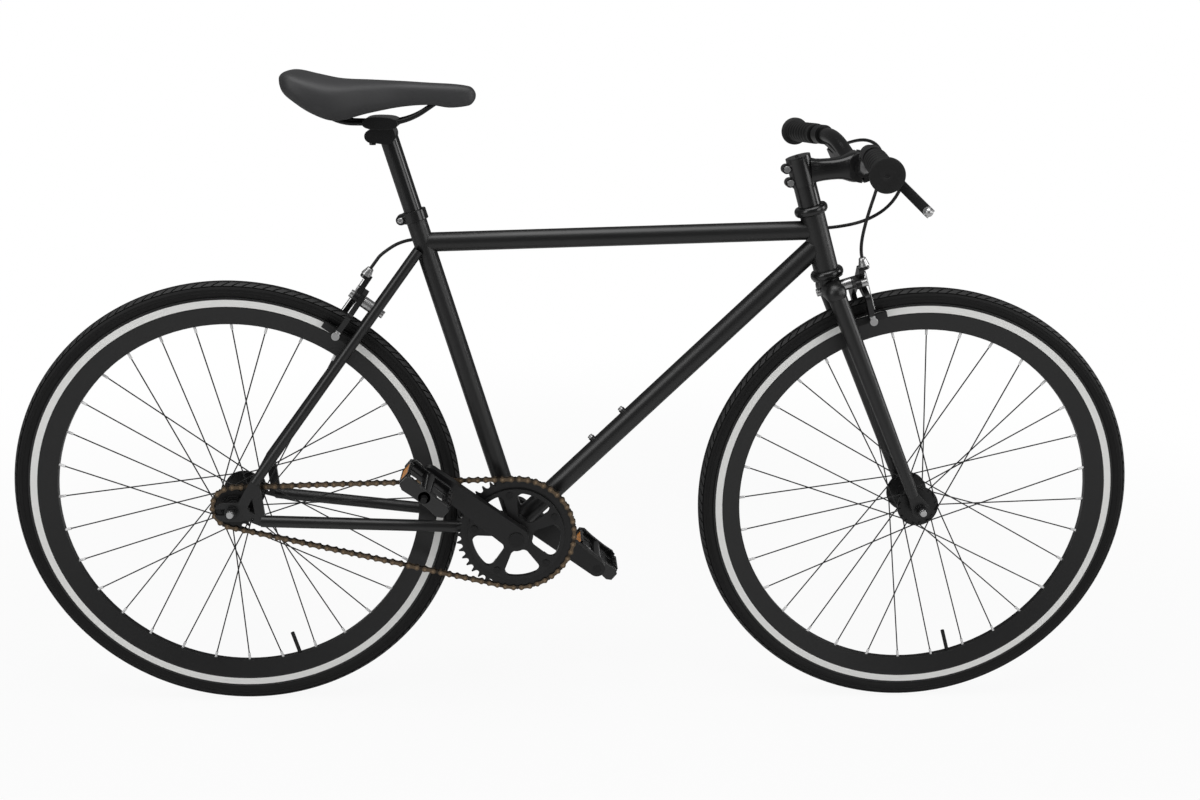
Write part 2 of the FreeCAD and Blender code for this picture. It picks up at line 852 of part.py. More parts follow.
def make_hub(flange_spacing, dropout_spacing, cog_boss):
    """Shell with two spoke flanges; the cog boss is threaded on the right (negative Y)."""
    end = dropout_spacing / 2 - locknut_width - running_gap
    flange_in = flange_spacing / 2 - flange_thickness / 2
    flange_out = flange_spacing / 2 + flange_thickness / 2
    seat = end - hub_bearing_width
    bore = axle_radius + fit_gap * 2
    left = [(hub_barrel_radius, flange_in), (flange_radius, flange_in), (flange_radius, flange_out),
            (hub_end_radius, flange_out), (hub_end_radius, end), (hub_bearing_radius, end),
            (hub_bearing_radius, seat), (bore, seat)]
    right = [(r, -y) for r, y in reversed(left)]
    if cog_boss:
        boss_end = chain_line - sprocket_thickness / 2 + sprocket_thickness + lockring_width
        right = [(bore, -seat), (hub_bearing_radius, -seat), (hub_bearing_radius, -end),
                 (hub_end_radius, -end), (hub_end_radius, -boss_end), (cog_carrier_radius, -boss_end),
                 (cog_carrier_radius, -flange_out), (flange_radius, -flange_out),
                 (flange_radius, -flange_in), (hub_barrel_radius, -flange_in)]
    shell = spun(left + right)
    bearings = []
    for sign in (1, -1):
        out = LEFT * sign
        race = axle_radius + bearing_gap
        bearings.append(ring(out * seat, out, hub_bearing_width, hub_bearing_radius, race))
    return shell, bearings


def spoke_lines(flange_spacing):
    """Start, flange side and end of each spoke of a crossed wheel."""
    per_flange = spoke_count // 2
    step = 2 * math.pi / per_flange
    hole_circle = flange_radius - flange_hole_inset
    lines = []
    for side in (1, -1):
        phase = 0 if side > 0 else step / 2
        for index in range(per_flange):
            outside = 1 if index % 2 else -1
            turn = spoke_crosses if index % 2 else -spoke_crosses
            hub_angle = phase + index * step
            rim_angle = hub_angle + turn * step
            stand = flange_thickness / 2 + spoke_radius + (spoke_elbow_offset if outside > 0 else fit_gap)
            y_hub = side * (flange_spacing / 2 + outside * stand)
            start = V(hole_circle * math.cos(hub_angle), y_hub, hole_circle * math.sin(hub_angle))
            reach = rim_inner_radius + nipple_seat_depth
            end = V(reach * math.cos(rim_angle), side * spoke_stagger, reach * math.sin(rim_angle))
            through = LEFT * (-side * outside)
            depth = stand + flange_thickness / 2 + fit_gap
            lines.append((start, end, through, depth))
    return lines


def make_spokes(flange_spacing):
    spokes = []
    nipples = []
    rim_drills = []
    flange_drills = []
    for start, end, through, depth in spoke_lines(flange_spacing):
        along = (end - start).normalize()
        elbow = Part.makeSphere(spoke_radius, start)
        stub_end = start + through * depth
        stub = tube(start, stub_end, spoke_radius)
        head = tube(stub_end, stub_end + through * spoke_head_depth, spoke_head_radius)
        spokes.append(tube(start, end, spoke_radius).multiFuse([elbow, stub, head]))
        low = end - along * nipple_length
        nipples.append(tube(low, end, nipple_radius, spoke_radius + bearing_gap))
        rim_drills.append(tube(low, end + along * spoke_head_depth, nipple_radius + bearing_gap))
        flange_drills.append(tube(start, stub_end, spoke_radius + bearing_gap))
    return spokes, nipples, Part.makeCompound(rim_drills), Part.makeCompound(flange_drills)


def make_wheel(name, axle_point, flange_spacing, dropout_spacing, cog_boss):
    spokes, nipples, rim_drills, flange_drills = make_spokes(flange_spacing)
    shell, bearings = make_hub(flange_spacing, dropout_spacing, cog_boss)
    groups = {
        name + "_tyre": [make_tyre()],
        name + "_inner_tube": [make_inner_tube()],
        name + "_rim": [make_rim().cut(rim_drills).cut(valve_drill())],
        name + "_spokes": spokes + nipples,
        name + "_hub": [shell.cut(flange_drills)] + bearings,
    }
    for node, shapes in groups.items():
        for shape in shapes:
            shape.translate(axle_point)
        keep(node, *shapes)


make_wheel("front", front_axle_point, front_flange_spacing, front_dropout_spacing, False)
make_wheel("rear", rear_axle_point, rear_flange_spacing, rear_dropout_spacing, True)


def make_axle(axle_point, dropout_spacing, plate):
    """Axle rod with a locknut inside each dropout and a washer and nut outside."""
    half = dropout_spacing / 2
    outer = half + plate
    reach = outer + axle_washer_width + axle_nut_width + axle_stub
    pieces = [tube(axle_point - LEFT * reach, axle_point + LEFT * reach, axle_radius)]
    for sign in (1, -1):
        out = LEFT * sign
        lock_seat = axle_point + out * (half - locknut_width)
        pieces.append(ring(lock_seat, out, locknut_width, locknut_radius, axle_radius))
        pieces.append(ring(axle_point + out * outer, out, axle_washer_width, axle_washer_radius, axle_radius))
        nut_seat = axle_point + out * (outer + axle_washer_width)
        pieces.append(hexagon(nut_seat, out, axle_nut_width, axle_nut_across_flats, axle_radius))
    return pieces


keep("front_axle", *make_axle(front_axle_point, front_dropout_spacing, fork_dropout_thickness))
keep("rear_axle", *make_axle(rear_axle_point, rear_dropout_spacing, dropout_thickness))


# Sprockets and chain


def sprocket_face(teeth, radius, phase):
    """Toothed outline in local XY with a roller seat at each multiple of the pitch from phase."""
    seat = roller_radius + roller_seat_gap
    step = 2 * math.pi / teeth
    spread = math.radians(tooth_seat_angle)
    edges = []
    previous = None
    first = None
    for index in range(teeth):
        angle = phase + index * step
        out = V(math.cos(angle), math.sin(angle), 0)
        side = V(-out.y, out.x, 0)
        centre = out * radius
        low = centre - out * seat * math.cos(spread) - side * seat * math.sin(spread)
        high = centre - out * seat * math.cos(spread) + side * seat * math.sin(spread)
        tip = angle + step / 2
        tip_out = V(math.cos(tip), math.sin(tip), 0)
        tip_side = V(-tip_out.y, tip_out.x, 0)
        tip_a = tip_out * (radius + tooth_height) - tip_side * tooth_tip_width / 2
        tip_b = tip_out * (radius + tooth_height) + tip_side * tooth_tip_width / 2
        if previous is None:
            first = low
        else:
            edges.append(Part.LineSegment(previous, low).toShape())
        edges.append(Part.Arc(low, centre - out * seat, high).toShape())
        edges.append(Part.LineSegment(high, tip_a).toShape())
        edges.append(Part.LineSegment(tip_a, tip_b).toShape())
        previous = tip_b
    edges.append(Part.LineSegment(previous, first).toShape())
    return Part.Face(Part.Wire(edges))


chain_axis = (bracket_point - rear_axle_point).normalize()
chain_normal = V(-chain_axis.z, 0, chain_axis.x)
chain_lean = math.asin((ring_pitch_radius - cog_pitch_radius) / chainstay_length)
chain_run = chainstay_length * math.cos(chain_lean) / chain_pitch
ring_wrap = ring_teeth * (0.5 + chain_lean / math.pi)


def tangent_normal(sign):
    return chain_normal * (sign * math.cos(chain_lean)) - chain_axis * math.sin(chain_lean)


def turned(vector, angle):
    """Turns a vector in the XZ plane, clockwise as seen from the right of the bicycle."""
    c = math.cos(angle)
    s = math.sin(angle)
    return V(vector.x * c + vector.z * s, 0, vector.z * c - vector.x * s)


def chain_point(count):
    """Centre of a roller, counted in links from the top of the rear cog."""
    top = tangent_normal(1)
    bottom = tangent_normal(-1)
    if count < chain_run:
        share = count / chain_run
        start = rear_axle_point + top * cog_pitch_radius
        return start + (bracket_point + top * ring_pitch_radius - start) * share
    count -= chain_run
    if count < ring_wrap:
        return bracket_point + turned(top, count * 2 * math.pi / ring_teeth) * ring_pitch_radius
    count -= ring_wrap
    if count < chain_run:
        start = bracket_point + bottom * ring_pitch_radius
        return start + (rear_axle_point + bottom * cog_pitch_radius - start) * (count / chain_run)
    count -= chain_run
    return rear_axle_point + turned(bottom, count * 2 * math.pi / cog_teeth) * cog_pitch_radius


def chain_plate():
    """One figure of eight plate about its middle, thickness along local Z."""
    half = V(chain_pitch / 2, 0, 0)
    face = link_face(half * -1, half, chain_plate_height / 2, chain_plate_height / 2)
    for sign in (1, -1):
        hole = Part.Wire([Part.makeCircle(chain_pin_radius + chain_pin_gap, half * sign, UP)])
        face = face.cut(Part.Face(hole))
    return face.extrude(UP * chain_plate_thickness)


def make_chain():
    """Rollers, inner and outer plates and pins round both sprockets."""
    middle = LEFT * -chain_line
    inner = chain_inner_width / 2
    outer = inner + chain_plate_thickness + chain_plate_gap
    pin_reach = outer + chain_plate_thickness + chain_pin_stub
    plate = chain_plate()
    solids = []
    points = [chain_point(index) + middle for index in range(chain_links)]
    for index, point in enumerate(points):
        after = points[(index + 1) % chain_links]
        along = (after - point).normalize()
        where = (point + after) * 0.5
        stand = inner if index % 2 else outer
        across = LEFT.cross(along)
        solids.append(placed(plate, placement(where + LEFT * stand, along, across)))
        solids.append(placed(plate, placement(where - LEFT * stand, along, across * -1)))
        bore = chain_pin_radius + chain_pin_gap
        solids.append(ring(point - LEFT * inner, LEFT, chain_inner_width, roller_radius, bore))
        solids.append(tube(point - LEFT * pin_reach, point + LEFT * pin_reach, chain_pin_radius))
    return solids


keep("chain", *make_chain())


def sprocket_place(centre):
    """Local X forward, local Y up, local Z towards the right of the bicycle."""
    return placement(centre - LEFT * (chain_line - sprocket_thickness / 2), V(1, 0, 0), UP)


def angle_of(vector):
    return math.atan2(vector.z, vector.x)


def make_cog():
    face = sprocket_face(cog_teeth, cog_pitch_radius, angle_of(tangent_normal(1)))
    bore = Part.Face(Part.Wire([Part.makeCircle(cog_carrier_radius, ORIGIN, UP)]))
    disc = face.cut(bore).extrude(UP * sprocket_thickness)
    lock_at = rear_axle_point - LEFT * (chain_line + sprocket_thickness / 2)
    lock = ring(lock_at, LEFT * -1, lockring_width, lockring_radius, cog_carrier_radius)
    for index in range(spider_arms + 1):
        notch = turned(V(lockring_radius, 0, 0), index * 2 * math.pi / (spider_arms + 1))
        lock = lock.cut(tube(lock_at + notch, lock_at + notch - LEFT * lockring_width, lockring_width / 2))
    return placed(disc, sprocket_place(rear_axle_point)), lock


keep("rear_sprocket", *make_cog())


# Cranks


crank_turn = math.radians(crank_angle)
crank_ahead = V(math.cos(crank_turn), 0, math.sin(crank_turn))


def spider_angles():
    """Directions of the spider arms in the ring's plane, either side of the crank."""
    step = 2 * math.pi / spider_arms
    return [crank_turn + math.radians(spider_lead) + step * index for index in range(spider_arms)]


def window_face(angle):
    """Rounded window between two spider arms, drawn in local XY."""
    corner = spider_window_corner
    inner = spider_window_inner + corner
    outer = spider_window_outer - corner
    inner_half = math.pi / spider_arms - math.asin((spider_arm_root + corner) / inner)
    outer_half = math.pi / spider_arms - math.asin((spider_arm_tip + corner) / outer)
    inner_low, inner_middle, inner_high = [
        V(math.cos(angle + turn), math.sin(angle + turn), 0) * inner for turn in (-inner_half, 0, inner_half)]
    outer_low, outer_middle, outer_high = [
        V(math.cos(angle + turn), math.sin(angle + turn), 0) * outer for turn in (-outer_half, 0, outer_half)]
    edges = [Part.LineSegment(inner_low, outer_low).toShape(),
             Part.Arc(outer_low, outer_middle, outer_high).toShape(),
             Part.LineSegment(outer_high, inner_high).toShape(),
             Part.Arc(inner_high, inner_middle, inner_low).toShape()]
    return Part.Face(Part.Wire(edges)).makeOffset2D(corner)


def windows(depth):
    step = 2 * math.pi / spider_arms
    return [window_face(angle + step / 2).extrude(UP * depth) for angle in spider_angles()]


def make_chainring():
    phase_count = math.ceil(chain_run) - chain_run
    phase = angle_of(tangent_normal(1)) - phase_count * 2 * math.pi / ring_teeth
    face = sprocket_face(ring_teeth, ring_pitch_radius, phase)
    bore = Part.Face(Part.Wire([Part.makeCircle(ring_bore, ORIGIN, UP)]))
    disc = face.cut(bore).extrude(UP * sprocket_thickness)
    for window in windows(sprocket_thickness):
        disc = disc.cut(window)
    for angle in spider_angles():
        centre = V(math.cos(angle), math.sin(angle), 0) * spider_bolt_radius
        disc = disc.cut(tube(centre, centre + UP * sprocket_thickness, ring_bolt_radius))
    return placed(disc, sprocket_place(bracket_point))


ring_outer_face = chain_line + sprocket_thickness / 2
crank_outer_face = crank_inner_face + crank_thickness


def crank_place(depth):
    """Local X forward, local Y up, local Z towards the right, from this distance off centre."""
    return placement(bracket_point - LEFT * depth, V(1, 0, 0), UP)


def square_hole(length):
    half = spindle_taper_width / 2
    block = Part.makeBox(spindle_taper_width, spindle_taper_width, length, V(-half, -half, 0))
    block.rotate(ORIGIN, UP, crank_angle)
    return block


def crank_bar():
    """Arm from the spindle to the pedal eye, in local XY, thickness along local Z."""
    eye = V(math.cos(crank_turn), math.sin(crank_turn), 0) * crank_length
    arm = link(ORIGIN, eye, crank_hub_radius, crank_eye_radius, 0, crank_thickness)
    arm = arm.cut(tube(eye, eye + UP * crank_thickness, pedal_axle_radius))
    return arm.cut(square_hole(spindle_taper_length))


def make_crank_right():
    arm = placed(crank_bar(), crank_place(crank_inner_face))
    disc = Part.makeCylinder(spider_outer_radius, spider_thickness)
    for window in windows(spider_thickness):
        disc = disc.cut(window)
    for angle in spider_angles():
        centre = V(math.cos(angle), math.sin(angle), 0) * spider_bolt_radius
        disc = disc.cut(tube(centre, centre + UP * spider_thickness, ring_bolt_radius))
    disc = disc.cut(square_hole(spider_thickness))
    disc = placed(disc, crank_place(ring_outer_face))
    neck = Part.makeCylinder(crank_hub_radius, crank_inner_face - ring_outer_face)
    neck = placed(neck.cut(square_hole(crank_inner_face - ring_outer_face)), crank_place(ring_outer_face))
    return fused([arm, neck, disc])


def make_crank_left():
    """The other arm, half a turn round."""
    arm = placed(crank_bar(), crank_place(crank_inner_face))
    arm = mirrored(arm)
    arm.rotate(bracket_point, LEFT, FULL_TURN / 2)
    return arm


def make_spindle():
    """Round in the bearings, with a square end in each crank."""
    inner = bracket_point - LEFT * (shell_width / 2 + bracket_cup_flange + running_gap)
    body = tube(inner, inner + (bracket_point - inner) * 2, spindle_radius)
    near = shell_width / 2 + bracket_cup_flange + running_gap
    far = crank_inner_face + spindle_taper_length
    right = placed(square_hole(far - near), crank_place(near))
    left = mirrored(right)
    left.rotate(bracket_point, LEFT, FULL_TURN / 2)
    return fused([body, right, left])


def make_bracket_cups():
    """Threaded cups that carry the spindle in the bottom bracket shell."""
    cups = []
    for sign in (1, -1):
        out = LEFT * sign
        face = bracket_point + out * shell_width / 2
        bore = spindle_radius + bearing_gap
        body = ring(face - out * bracket_cup_depth, out, bracket_cup_depth, shell_bore, bore)
        lip = ring(face, out, bracket_cup_flange, bracket_cup_flange_radius, bore)
        cups.append(body.fuse(lip).removeSplitter())
    return cups


def make_crank_bolts():
    """Chainring bolts through the spider, and a dust cap on each crank."""
    bolts = []
    for angle in spider_angles():
        centre = bracket_point + V(math.cos(angle), 0, math.sin(angle)) * spider_bolt_radius
        inner = centre - LEFT * (ring_outer_face - sprocket_thickness)
        outer = centre - LEFT * (ring_outer_face + spider_thickness)
        back = tube(inner, inner + LEFT * ring_bolt_head_height, ring_bolt_head_radius)
        shank = tube(inner, outer, ring_bolt_radius)
        front = tube(outer, outer - LEFT * ring_bolt_head_height, ring_bolt_head_radius)
        bolts.append(fused([back, shank, front]))
    for sign in (1, -1):
        face = bracket_point + LEFT * sign * crank_outer_face
        bolts.append(tube(face, face + LEFT * sign * dust_cap_height, dust_cap_radius))
    return bolts


def pedal_eye(sign):
    """Centre of a pedal's axle at the crank's inner face; the right is negative."""
    return bracket_point - crank_ahead * (sign * crank_length) + LEFT * (sign * crank_inner_face)


def make_pedal_axle(sign):
    start = pedal_eye(sign)
    out = LEFT * sign
    shoulder = start + out * (crank_thickness + pedal_stand_off)
    end = shoulder + out * pedal_axle_length
    screw = tube(start, shoulder, pedal_axle_radius)
    rod = tube(shoulder, end, pedal_axle_end_radius)
    return screw.fuse(rod)


def make_pedal(sign):
    """Cage pedal round a barrel, with a reflector on its front and back edges."""
    inner = pedal_eye(sign) + LEFT * sign * (crank_thickness + pedal_stand_off + running_gap)
    half_height = pedal_height / 2
    half_length = pedal_length / 2
    rail = pedal_rail_thickness
    outer_block = Part.makeBox(pedal_length, pedal_height, pedal_width, V(-half_length, -half_height, 0))
    hollow = Part.makeBox(pedal_length - 2 * rail, pedal_height, pedal_width - 2 * rail,
                          V(rail - half_length, -half_height, rail))
    barrel = Part.makeCylinder(pedal_barrel_radius, pedal_width)
    ribs = [Part.makeBox(pedal_length - rail, rail / 2, rail, V((rail - pedal_length) / 2, -rail / 4, place))
            for place in (pedal_width / 3, pedal_width * 2 / 3 - rail)]
    bore = Part.makeCylinder(pedal_axle_end_radius + bearing_gap, pedal_axle_length)
    body = fused([outer_block.cut(hollow), barrel] + ribs).cut(bore)
    reflectors = []
    for end in (1, -1):
        low = V(end * half_length - (reflector_thickness if end > 0 else 0), -reflector_height / 2,
                (pedal_width - reflector_width) / 2)
        slab = Part.makeBox(reflector_thickness, reflector_height, reflector_width, low)
        body = body.cut(slab)
        reflectors.append(slab)
    tilt = math.radians(pedal_tilt)
    along = V(math.cos(tilt), 0, -math.sin(tilt))
    rise = V(math.sin(tilt), 0, math.cos(tilt)) if sign < 0 else V(-math.sin(tilt), 0, -math.cos(tilt))
    where = placement(inner, along, rise)
    return [placed(shape, where) for shape in [body] + reflectors]


keep("bottom_bracket_cups", *make_bracket_cups())
keep("crank_spindle", make_spindle())
keep("crank_arm_right", make_crank_right())
keep("crank_arm_left", make_crank_left())
keep("chainring", make_chainring())
keep("crank_bolts", *make_crank_bolts())
keep("pedal_axles", make_pedal_axle(-1), make_pedal_axle(1))
keep("pedal_right", *make_pedal(-1))
keep("pedal_left", *make_pedal(1))


# Fork


crown_height = fork_length - crown_drop
crown_point = on_steerer(crown_height)
front_plate_side = (front_dropout_spacing + fork_dropout_thickness) / 2
blade_tip_ahead = fork_rake - blade_tip_behind_axle


def crown_form():
    half = LEFT * crown_spread
    bar = tube(crown_point - half, crown_point + half, crown_radius)
    return fused([bar] + [Part.makeSphere(crown_radius, crown_point + half * sign) for sign in (1, -1)])


def make_steerer():
    """Steerer tube with the crown that carries both blades."""
    pipe = tube(crown_point, on_steerer(stem_high), steerer_radius)
    bore = tube(crown_point + steer_up * crown_radius, on_steerer(stem_high), steerer_radius - steerer_wall)
    race = ring(on_steerer(crown_height), steer_up, crown_drop - running_gap, crown_radius, steerer_radius)
    reach = steer_ahead * overrun
    drill = tube(crown_point - reach, crown_point + reach, brake_bolt_radius + fit_gap)
    return fused([crown_form(), pipe, race]).cut(bore).cut(drill)


def make_fork_dropout():
    """Right hand fork end, open downwards and a little forward."""
    centre = front_axle_point - LEFT * (front_dropout_spacing / 2)
    to_blade = on_steerer(blade_tip_height, blade_tip_ahead) - front_axle_point
    boss = link(ORIGIN, V(to_blade.x, to_blade.z, 0), fork_dropout_radius, fork_dropout_arm_radius,
                0, fork_dropout_thickness)
    slot = link(ORIGIN, V(steer_up.x, steer_up.z, 0) * -overrun, axle_radius + fit_gap, axle_radius + fit_gap,
                0, fork_dropout_thickness)
    return placed(boss.cut(slot), placement(centre, V(1, 0, 0), UP))


def make_blade(dropout):
    start = crown_point - LEFT * crown_spread
    end = on_steerer(blade_tip_height, blade_tip_ahead, -front_plate_side)
    solid = cone(start, end, blade_top_radius, blade_tip_radius)
    hollow = cone(start, end, blade_top_radius - blade_wall, blade_tip_radius - blade_wall)
    cut = solid.cut(hollow).cut(crown_form()).cut(dropout)
    return largest(cut)


fork_dropout = make_fork_dropout()
fork_blade = make_blade(fork_dropout)
keep("fork_steerer", make_steerer())
keep("fork_blades", *both_sides(fork_blade), *both_sides(fork_dropout))


# Stem and headset top


def make_top_cap():
    seat = on_steerer(stem_high)
    cap = tube(seat, seat + steer_up * top_cap_height, stem_clamp_radius)
    bolt_seat = seat + steer_up * top_cap_height
    bolt = tube(bolt_seat, bolt_seat + steer_up * top_cap_bolt_height, top_cap_bolt_radius)
    return cap, bolt.cut(hexagon(bolt_seat, steer_up, top_cap_bolt_height, top_cap_bolt_radius))


bar_clamp_point = on_steerer((stem_low + stem_high) / 2 - stem_drop, stem_reach)
stem_axis = (bar_clamp_point - on_steerer((stem_low + stem_high) / 2)).normalize()
stem_side_up = LEFT.cross(stem_axis) * -1


def bar_clamp_block(near, far):
    """Slab round the bar between two distances along the stem."""
    block = Part.makeBox(far - near, bar_clamp_width, bar_clamp_height)
    half = LEFT * bar_clamp_width / 2
    corner = bar_clamp_point + stem_axis * near - half - stem_side_up * bar_clamp_height / 2
    block = placed(block, placement(corner, stem_axis, LEFT))
    drum = tube(bar_clamp_point - half, bar_clamp_point + half, bar_clamp_height / 2)
    hole = tube(bar_clamp_point - half, bar_clamp_point + half, bar_bulge_radius)
    return block.common(drum).cut(hole)


def faceplate_bolt_seats():
    spread = bar_clamp_height / 2 - stem_bolt_head_radius
    return [bar_clamp_point + LEFT * side * bar_clamp_bolt_spread + stem_side_up * rise * spread
            for side in (1, -1) for rise in (1, -1)]


def make_stem():
    """Clamp on the steerer, arm, and the back half of the bar clamp, with its pinch bolts."""
    collar = ring(on_steerer(stem_low), steer_up, stem_clamp_height, stem_clamp_radius, steerer_radius)
    start = on_steerer((stem_low + stem_high) / 2)
    end = bar_clamp_point - stem_axis * (bar_bulge_radius + bar_clamp_wall / 2)
    arm = cone(start, end, stem_arm_radius, stem_arm_end_radius)
    arm = arm.cut(tube(on_steerer(stem_low - overrun), on_steerer(stem_high + overrun), steerer_radius))
    back = bar_clamp_block(-bar_bulge_radius - bar_clamp_wall, -faceplate_gap / 2)
    arm = max(arm.Solids, key=lambda piece: piece.CenterOfMass.x)
    ears = []
    seats = []
    for share in stem_bolt_shares:
        height = stem_low + stem_clamp_height * share
        ear = Part.makeCylinder(stem_ear_radius, stem_ear_width)
        centre = on_steerer(height, -stem_clamp_radius - stem_ear_radius / 3, -stem_ear_width / 2)
        ears.append(placed(ear, placement(centre, steer_ahead, steer_up * -1)))
        seats.append(centre)
    filled = tube(on_steerer(stem_low), on_steerer(stem_high), steerer_radius)
    body = fused([collar, arm, back] + [ear.cut(filled) for ear in ears])
    slot = Part.makeBox(stem_clamp_radius * 2, stem_slot, stem_clamp_height)
    slot = placed(slot, placement(on_steerer(stem_low, 0, stem_slot / 2), steer_ahead * -1, LEFT * -1))
    body = body.cut(slot)
    pinch = []
    for seat in seats:
        shank = tube(seat, seat + LEFT * stem_ear_width, stem_bolt_radius)
        head = tube(seat, seat - LEFT * stem_bolt_head_height, stem_bolt_head_radius)
        bolt = shank.fuse(head)
        body = body.cut(bolt)
        pinch.append(bolt)
    for seat in faceplate_bolt_seats():
        body = body.cut(tube(seat - stem_axis * overrun, seat, stem_bolt_radius))
    return body, pinch


def make_faceplate():
    plate = bar_clamp_block(faceplate_gap / 2, bar_bulge_radius + bar_clamp_wall)
    bolts = []
    for seat in faceplate_bolt_seats():
        face = seat + stem_axis * bar_bulge_radius
        shank = tube(seat - stem_axis * bar_bulge_radius, face, stem_bolt_radius)
        head = tube(face, face + stem_axis * stem_bolt_head_height, stem_bolt_head_radius)
        plate = plate.cut(tube(face, face + stem_axis * overrun, stem_bolt_head_radius + fit_gap))
        plate = plate.cut(shank)
        bolts.append(shank.fuse(head))
    return plate, bolts


spacer_seat = on_steerer(spacer_low)
keep("headset_spacer", ring(spacer_seat, steer_up, spacer_height, spacer_radius, steerer_radius))
keep("headset_top_cap", *make_top_cap())
stem_body, pinch_bolts = make_stem()
faceplate, faceplate_bolts = make_faceplate()
keep("stem", stem_body, *pinch_bolts)
keep("stem_faceplate", faceplate, *faceplate_bolts)


# Handlebar, grips and levers


def bar_points():
    """Right half of the bar from the clamp to the end of the grip."""
    low = bar_clamp_point
    knee = low + V(-bar_bend_back, 0, bar_rise)
    end = low + V(-bar_end_back, 0, bar_rise - bar_end_drop)
    return [low, low - LEFT * bar_bend_start, knee - LEFT * bar_bend_end, end - LEFT * bar_half_width]


def bar_rod(radius):
    """Round rod along the whole bar, from the left end to the right."""
    right = bar_points()[1:]
    left = [V(point.x, -point.y, point.z) for point in reversed(right)]
    path, _ = cord_path(left + right)
    circle = Part.Wire([Part.makeCircle(radius, left[0], left[1] - left[0])])
    return path.makePipeShell([circle], True, False)


def make_bar():
    half = LEFT * bar_bulge_width / 2
    bulge = tube(bar_clamp_point - half, bar_clamp_point + half, bar_bulge_radius)
    return fused([bar_rod(bar_radius), bulge]).cut(bar_rod(bar_radius - bar_wall))


grip_end = bar_points()[3]
grip_axis = (bar_points()[3] - bar_points()[2]).normalize()


def make_grip():
    """Right grip: rubber tube with a low inner collar and a wide closed end."""
    inner = grip_end - grip_axis * (grip_length - grip_end_wall)
    sleeve = ring(inner, grip_axis, grip_length - grip_end_wall, grip_radius, bar_radius)
    collar = ring(inner, grip_axis, grip_flange_width, grip_collar_radius, bar_radius)
    end_flange = tube(grip_end - grip_axis * grip_flange_width, grip_end, grip_flange_radius)
    end_flange = end_flange.cut(tube(grip_end - grip_axis * grip_flange_width, grip_end, bar_radius))
    end_cap = tube(grip_end, grip_end + grip_axis * grip_end_wall, grip_flange_radius)
    return fused([sleeve, collar, end_flange, end_cap])


perch_outer = grip_end - grip_axis * (grip_length - grip_end_wall + perch_from_grip)
lever_down = math.radians(lever_angle)
lever_reach_axis = V(math.cos(lever_down), 0, math.sin(lever_down))
lever_reach_axis = (lever_reach_axis - grip_axis * lever_reach_axis.dot(grip_axis)).normalize()
lever_pivot = perch_outer - grip_axis * perch_width / 2 + lever_reach_axis * lever_pivot_reach


def lever_place():
    """Local X along the grip outwards, local Y away from the bar, local Z along the pivot."""
    return placement(lever_pivot, grip_axis, lever_reach_axis)


def make_perch():
    """Right lever bracket: a clamp band on the bar with two ears for the pivot."""
    centre = V(0, -lever_pivot_reach, 0)
    half = perch_width / 2
    band = Part.makeCylinder(bar_radius + perch_wall, perch_width, centre - V(half, 0, 0), V(1, 0, 0))
    arm = link(centre + V(0, bar_radius, 0), ORIGIN, perch_width / 2, lever_boss_radius,
               -perch_arm_height / 2, perch_arm_height / 2)
    barrel_seat = V(0, -lever_boss_radius, 0)
    barrel = tube(barrel_seat - V(perch_barrel_length, 0, 0), barrel_seat, perch_barrel_radius)
    slot_half = lever_thickness / 2 + running_gap
    slot_radius = lever_boss_radius + running_gap
    gap = link(ORIGIN, V(lever_length, 0, 0), slot_radius, slot_radius, -slot_half, slot_half)
    gap_up = link(ORIGIN, V(0, lever_length, 0), slot_radius, slot_radius, -slot_half, slot_half)
    pulled = math.radians(lever_splay / 3 - lever_pull)
    pulled_end = V(math.cos(pulled), math.sin(pulled), 0) * lever_length
    gap_pulled = link(ORIGIN, pulled_end, slot_radius, slot_radius, -slot_half, slot_half)
    bore = Part.makeCylinder(bar_radius, perch_width, centre - V(half, 0, 0), V(1, 0, 0))
    pin = tube(V(0, 0, -perch_arm_height / 2), V(0, 0, perch_arm_height / 2), lever_pivot_radius)
    body = fused([band, arm, barrel]).cut(bore).cut(gap).cut(gap_up).cut(gap_pulled).cut(pin)
    return [placed(shape, lever_place()) for shape in (body, pin)]


def make_lever():
    """Right lever blade: root on the pivot, a splayed finger blade and a ball end."""
    splay = math.radians(lever_splay)
    along = V(math.cos(splay), math.sin(splay), 0)
    half = lever_thickness / 2
    elbow = V(math.cos(splay / 3), math.sin(splay / 3), 0) * lever_length / 4
    tip = elbow + along * lever_length * 3 / 4
    root = link(ORIGIN, elbow, lever_boss_radius - running_gap, lever_root_width / 2, -half, half)
    blade_half = lever_blade_height / 2
    blade = link(elbow, tip, lever_root_width / 2, lever_tip_width / 2, -blade_half, blade_half)
    ball = Part.makeSphere(lever_ball_radius, tip)
    body = fused([root, blade, ball])
    hole = tube(V(0, 0, -half), V(0, 0, half), lever_pivot_radius + bearing_gap)
    return placed(body.cut(hole), lever_place())


perch_right = make_perch()
lever_right = make_lever()
grip_right = make_grip()
keep("handlebar", make_bar())
keep("grips", *both_sides(grip_right))
keep("lever_perches", *perch_right, *[mirrored(shape) for shape in perch_right])
keep("brake_lever_right", lever_right)
keep("brake_lever_left", mirrored(lever_right))


# Rim brakes, drawn with X to the side, Y up from the rim and Z out along the pivot bolt.
# The cable comes down on the negative X side.


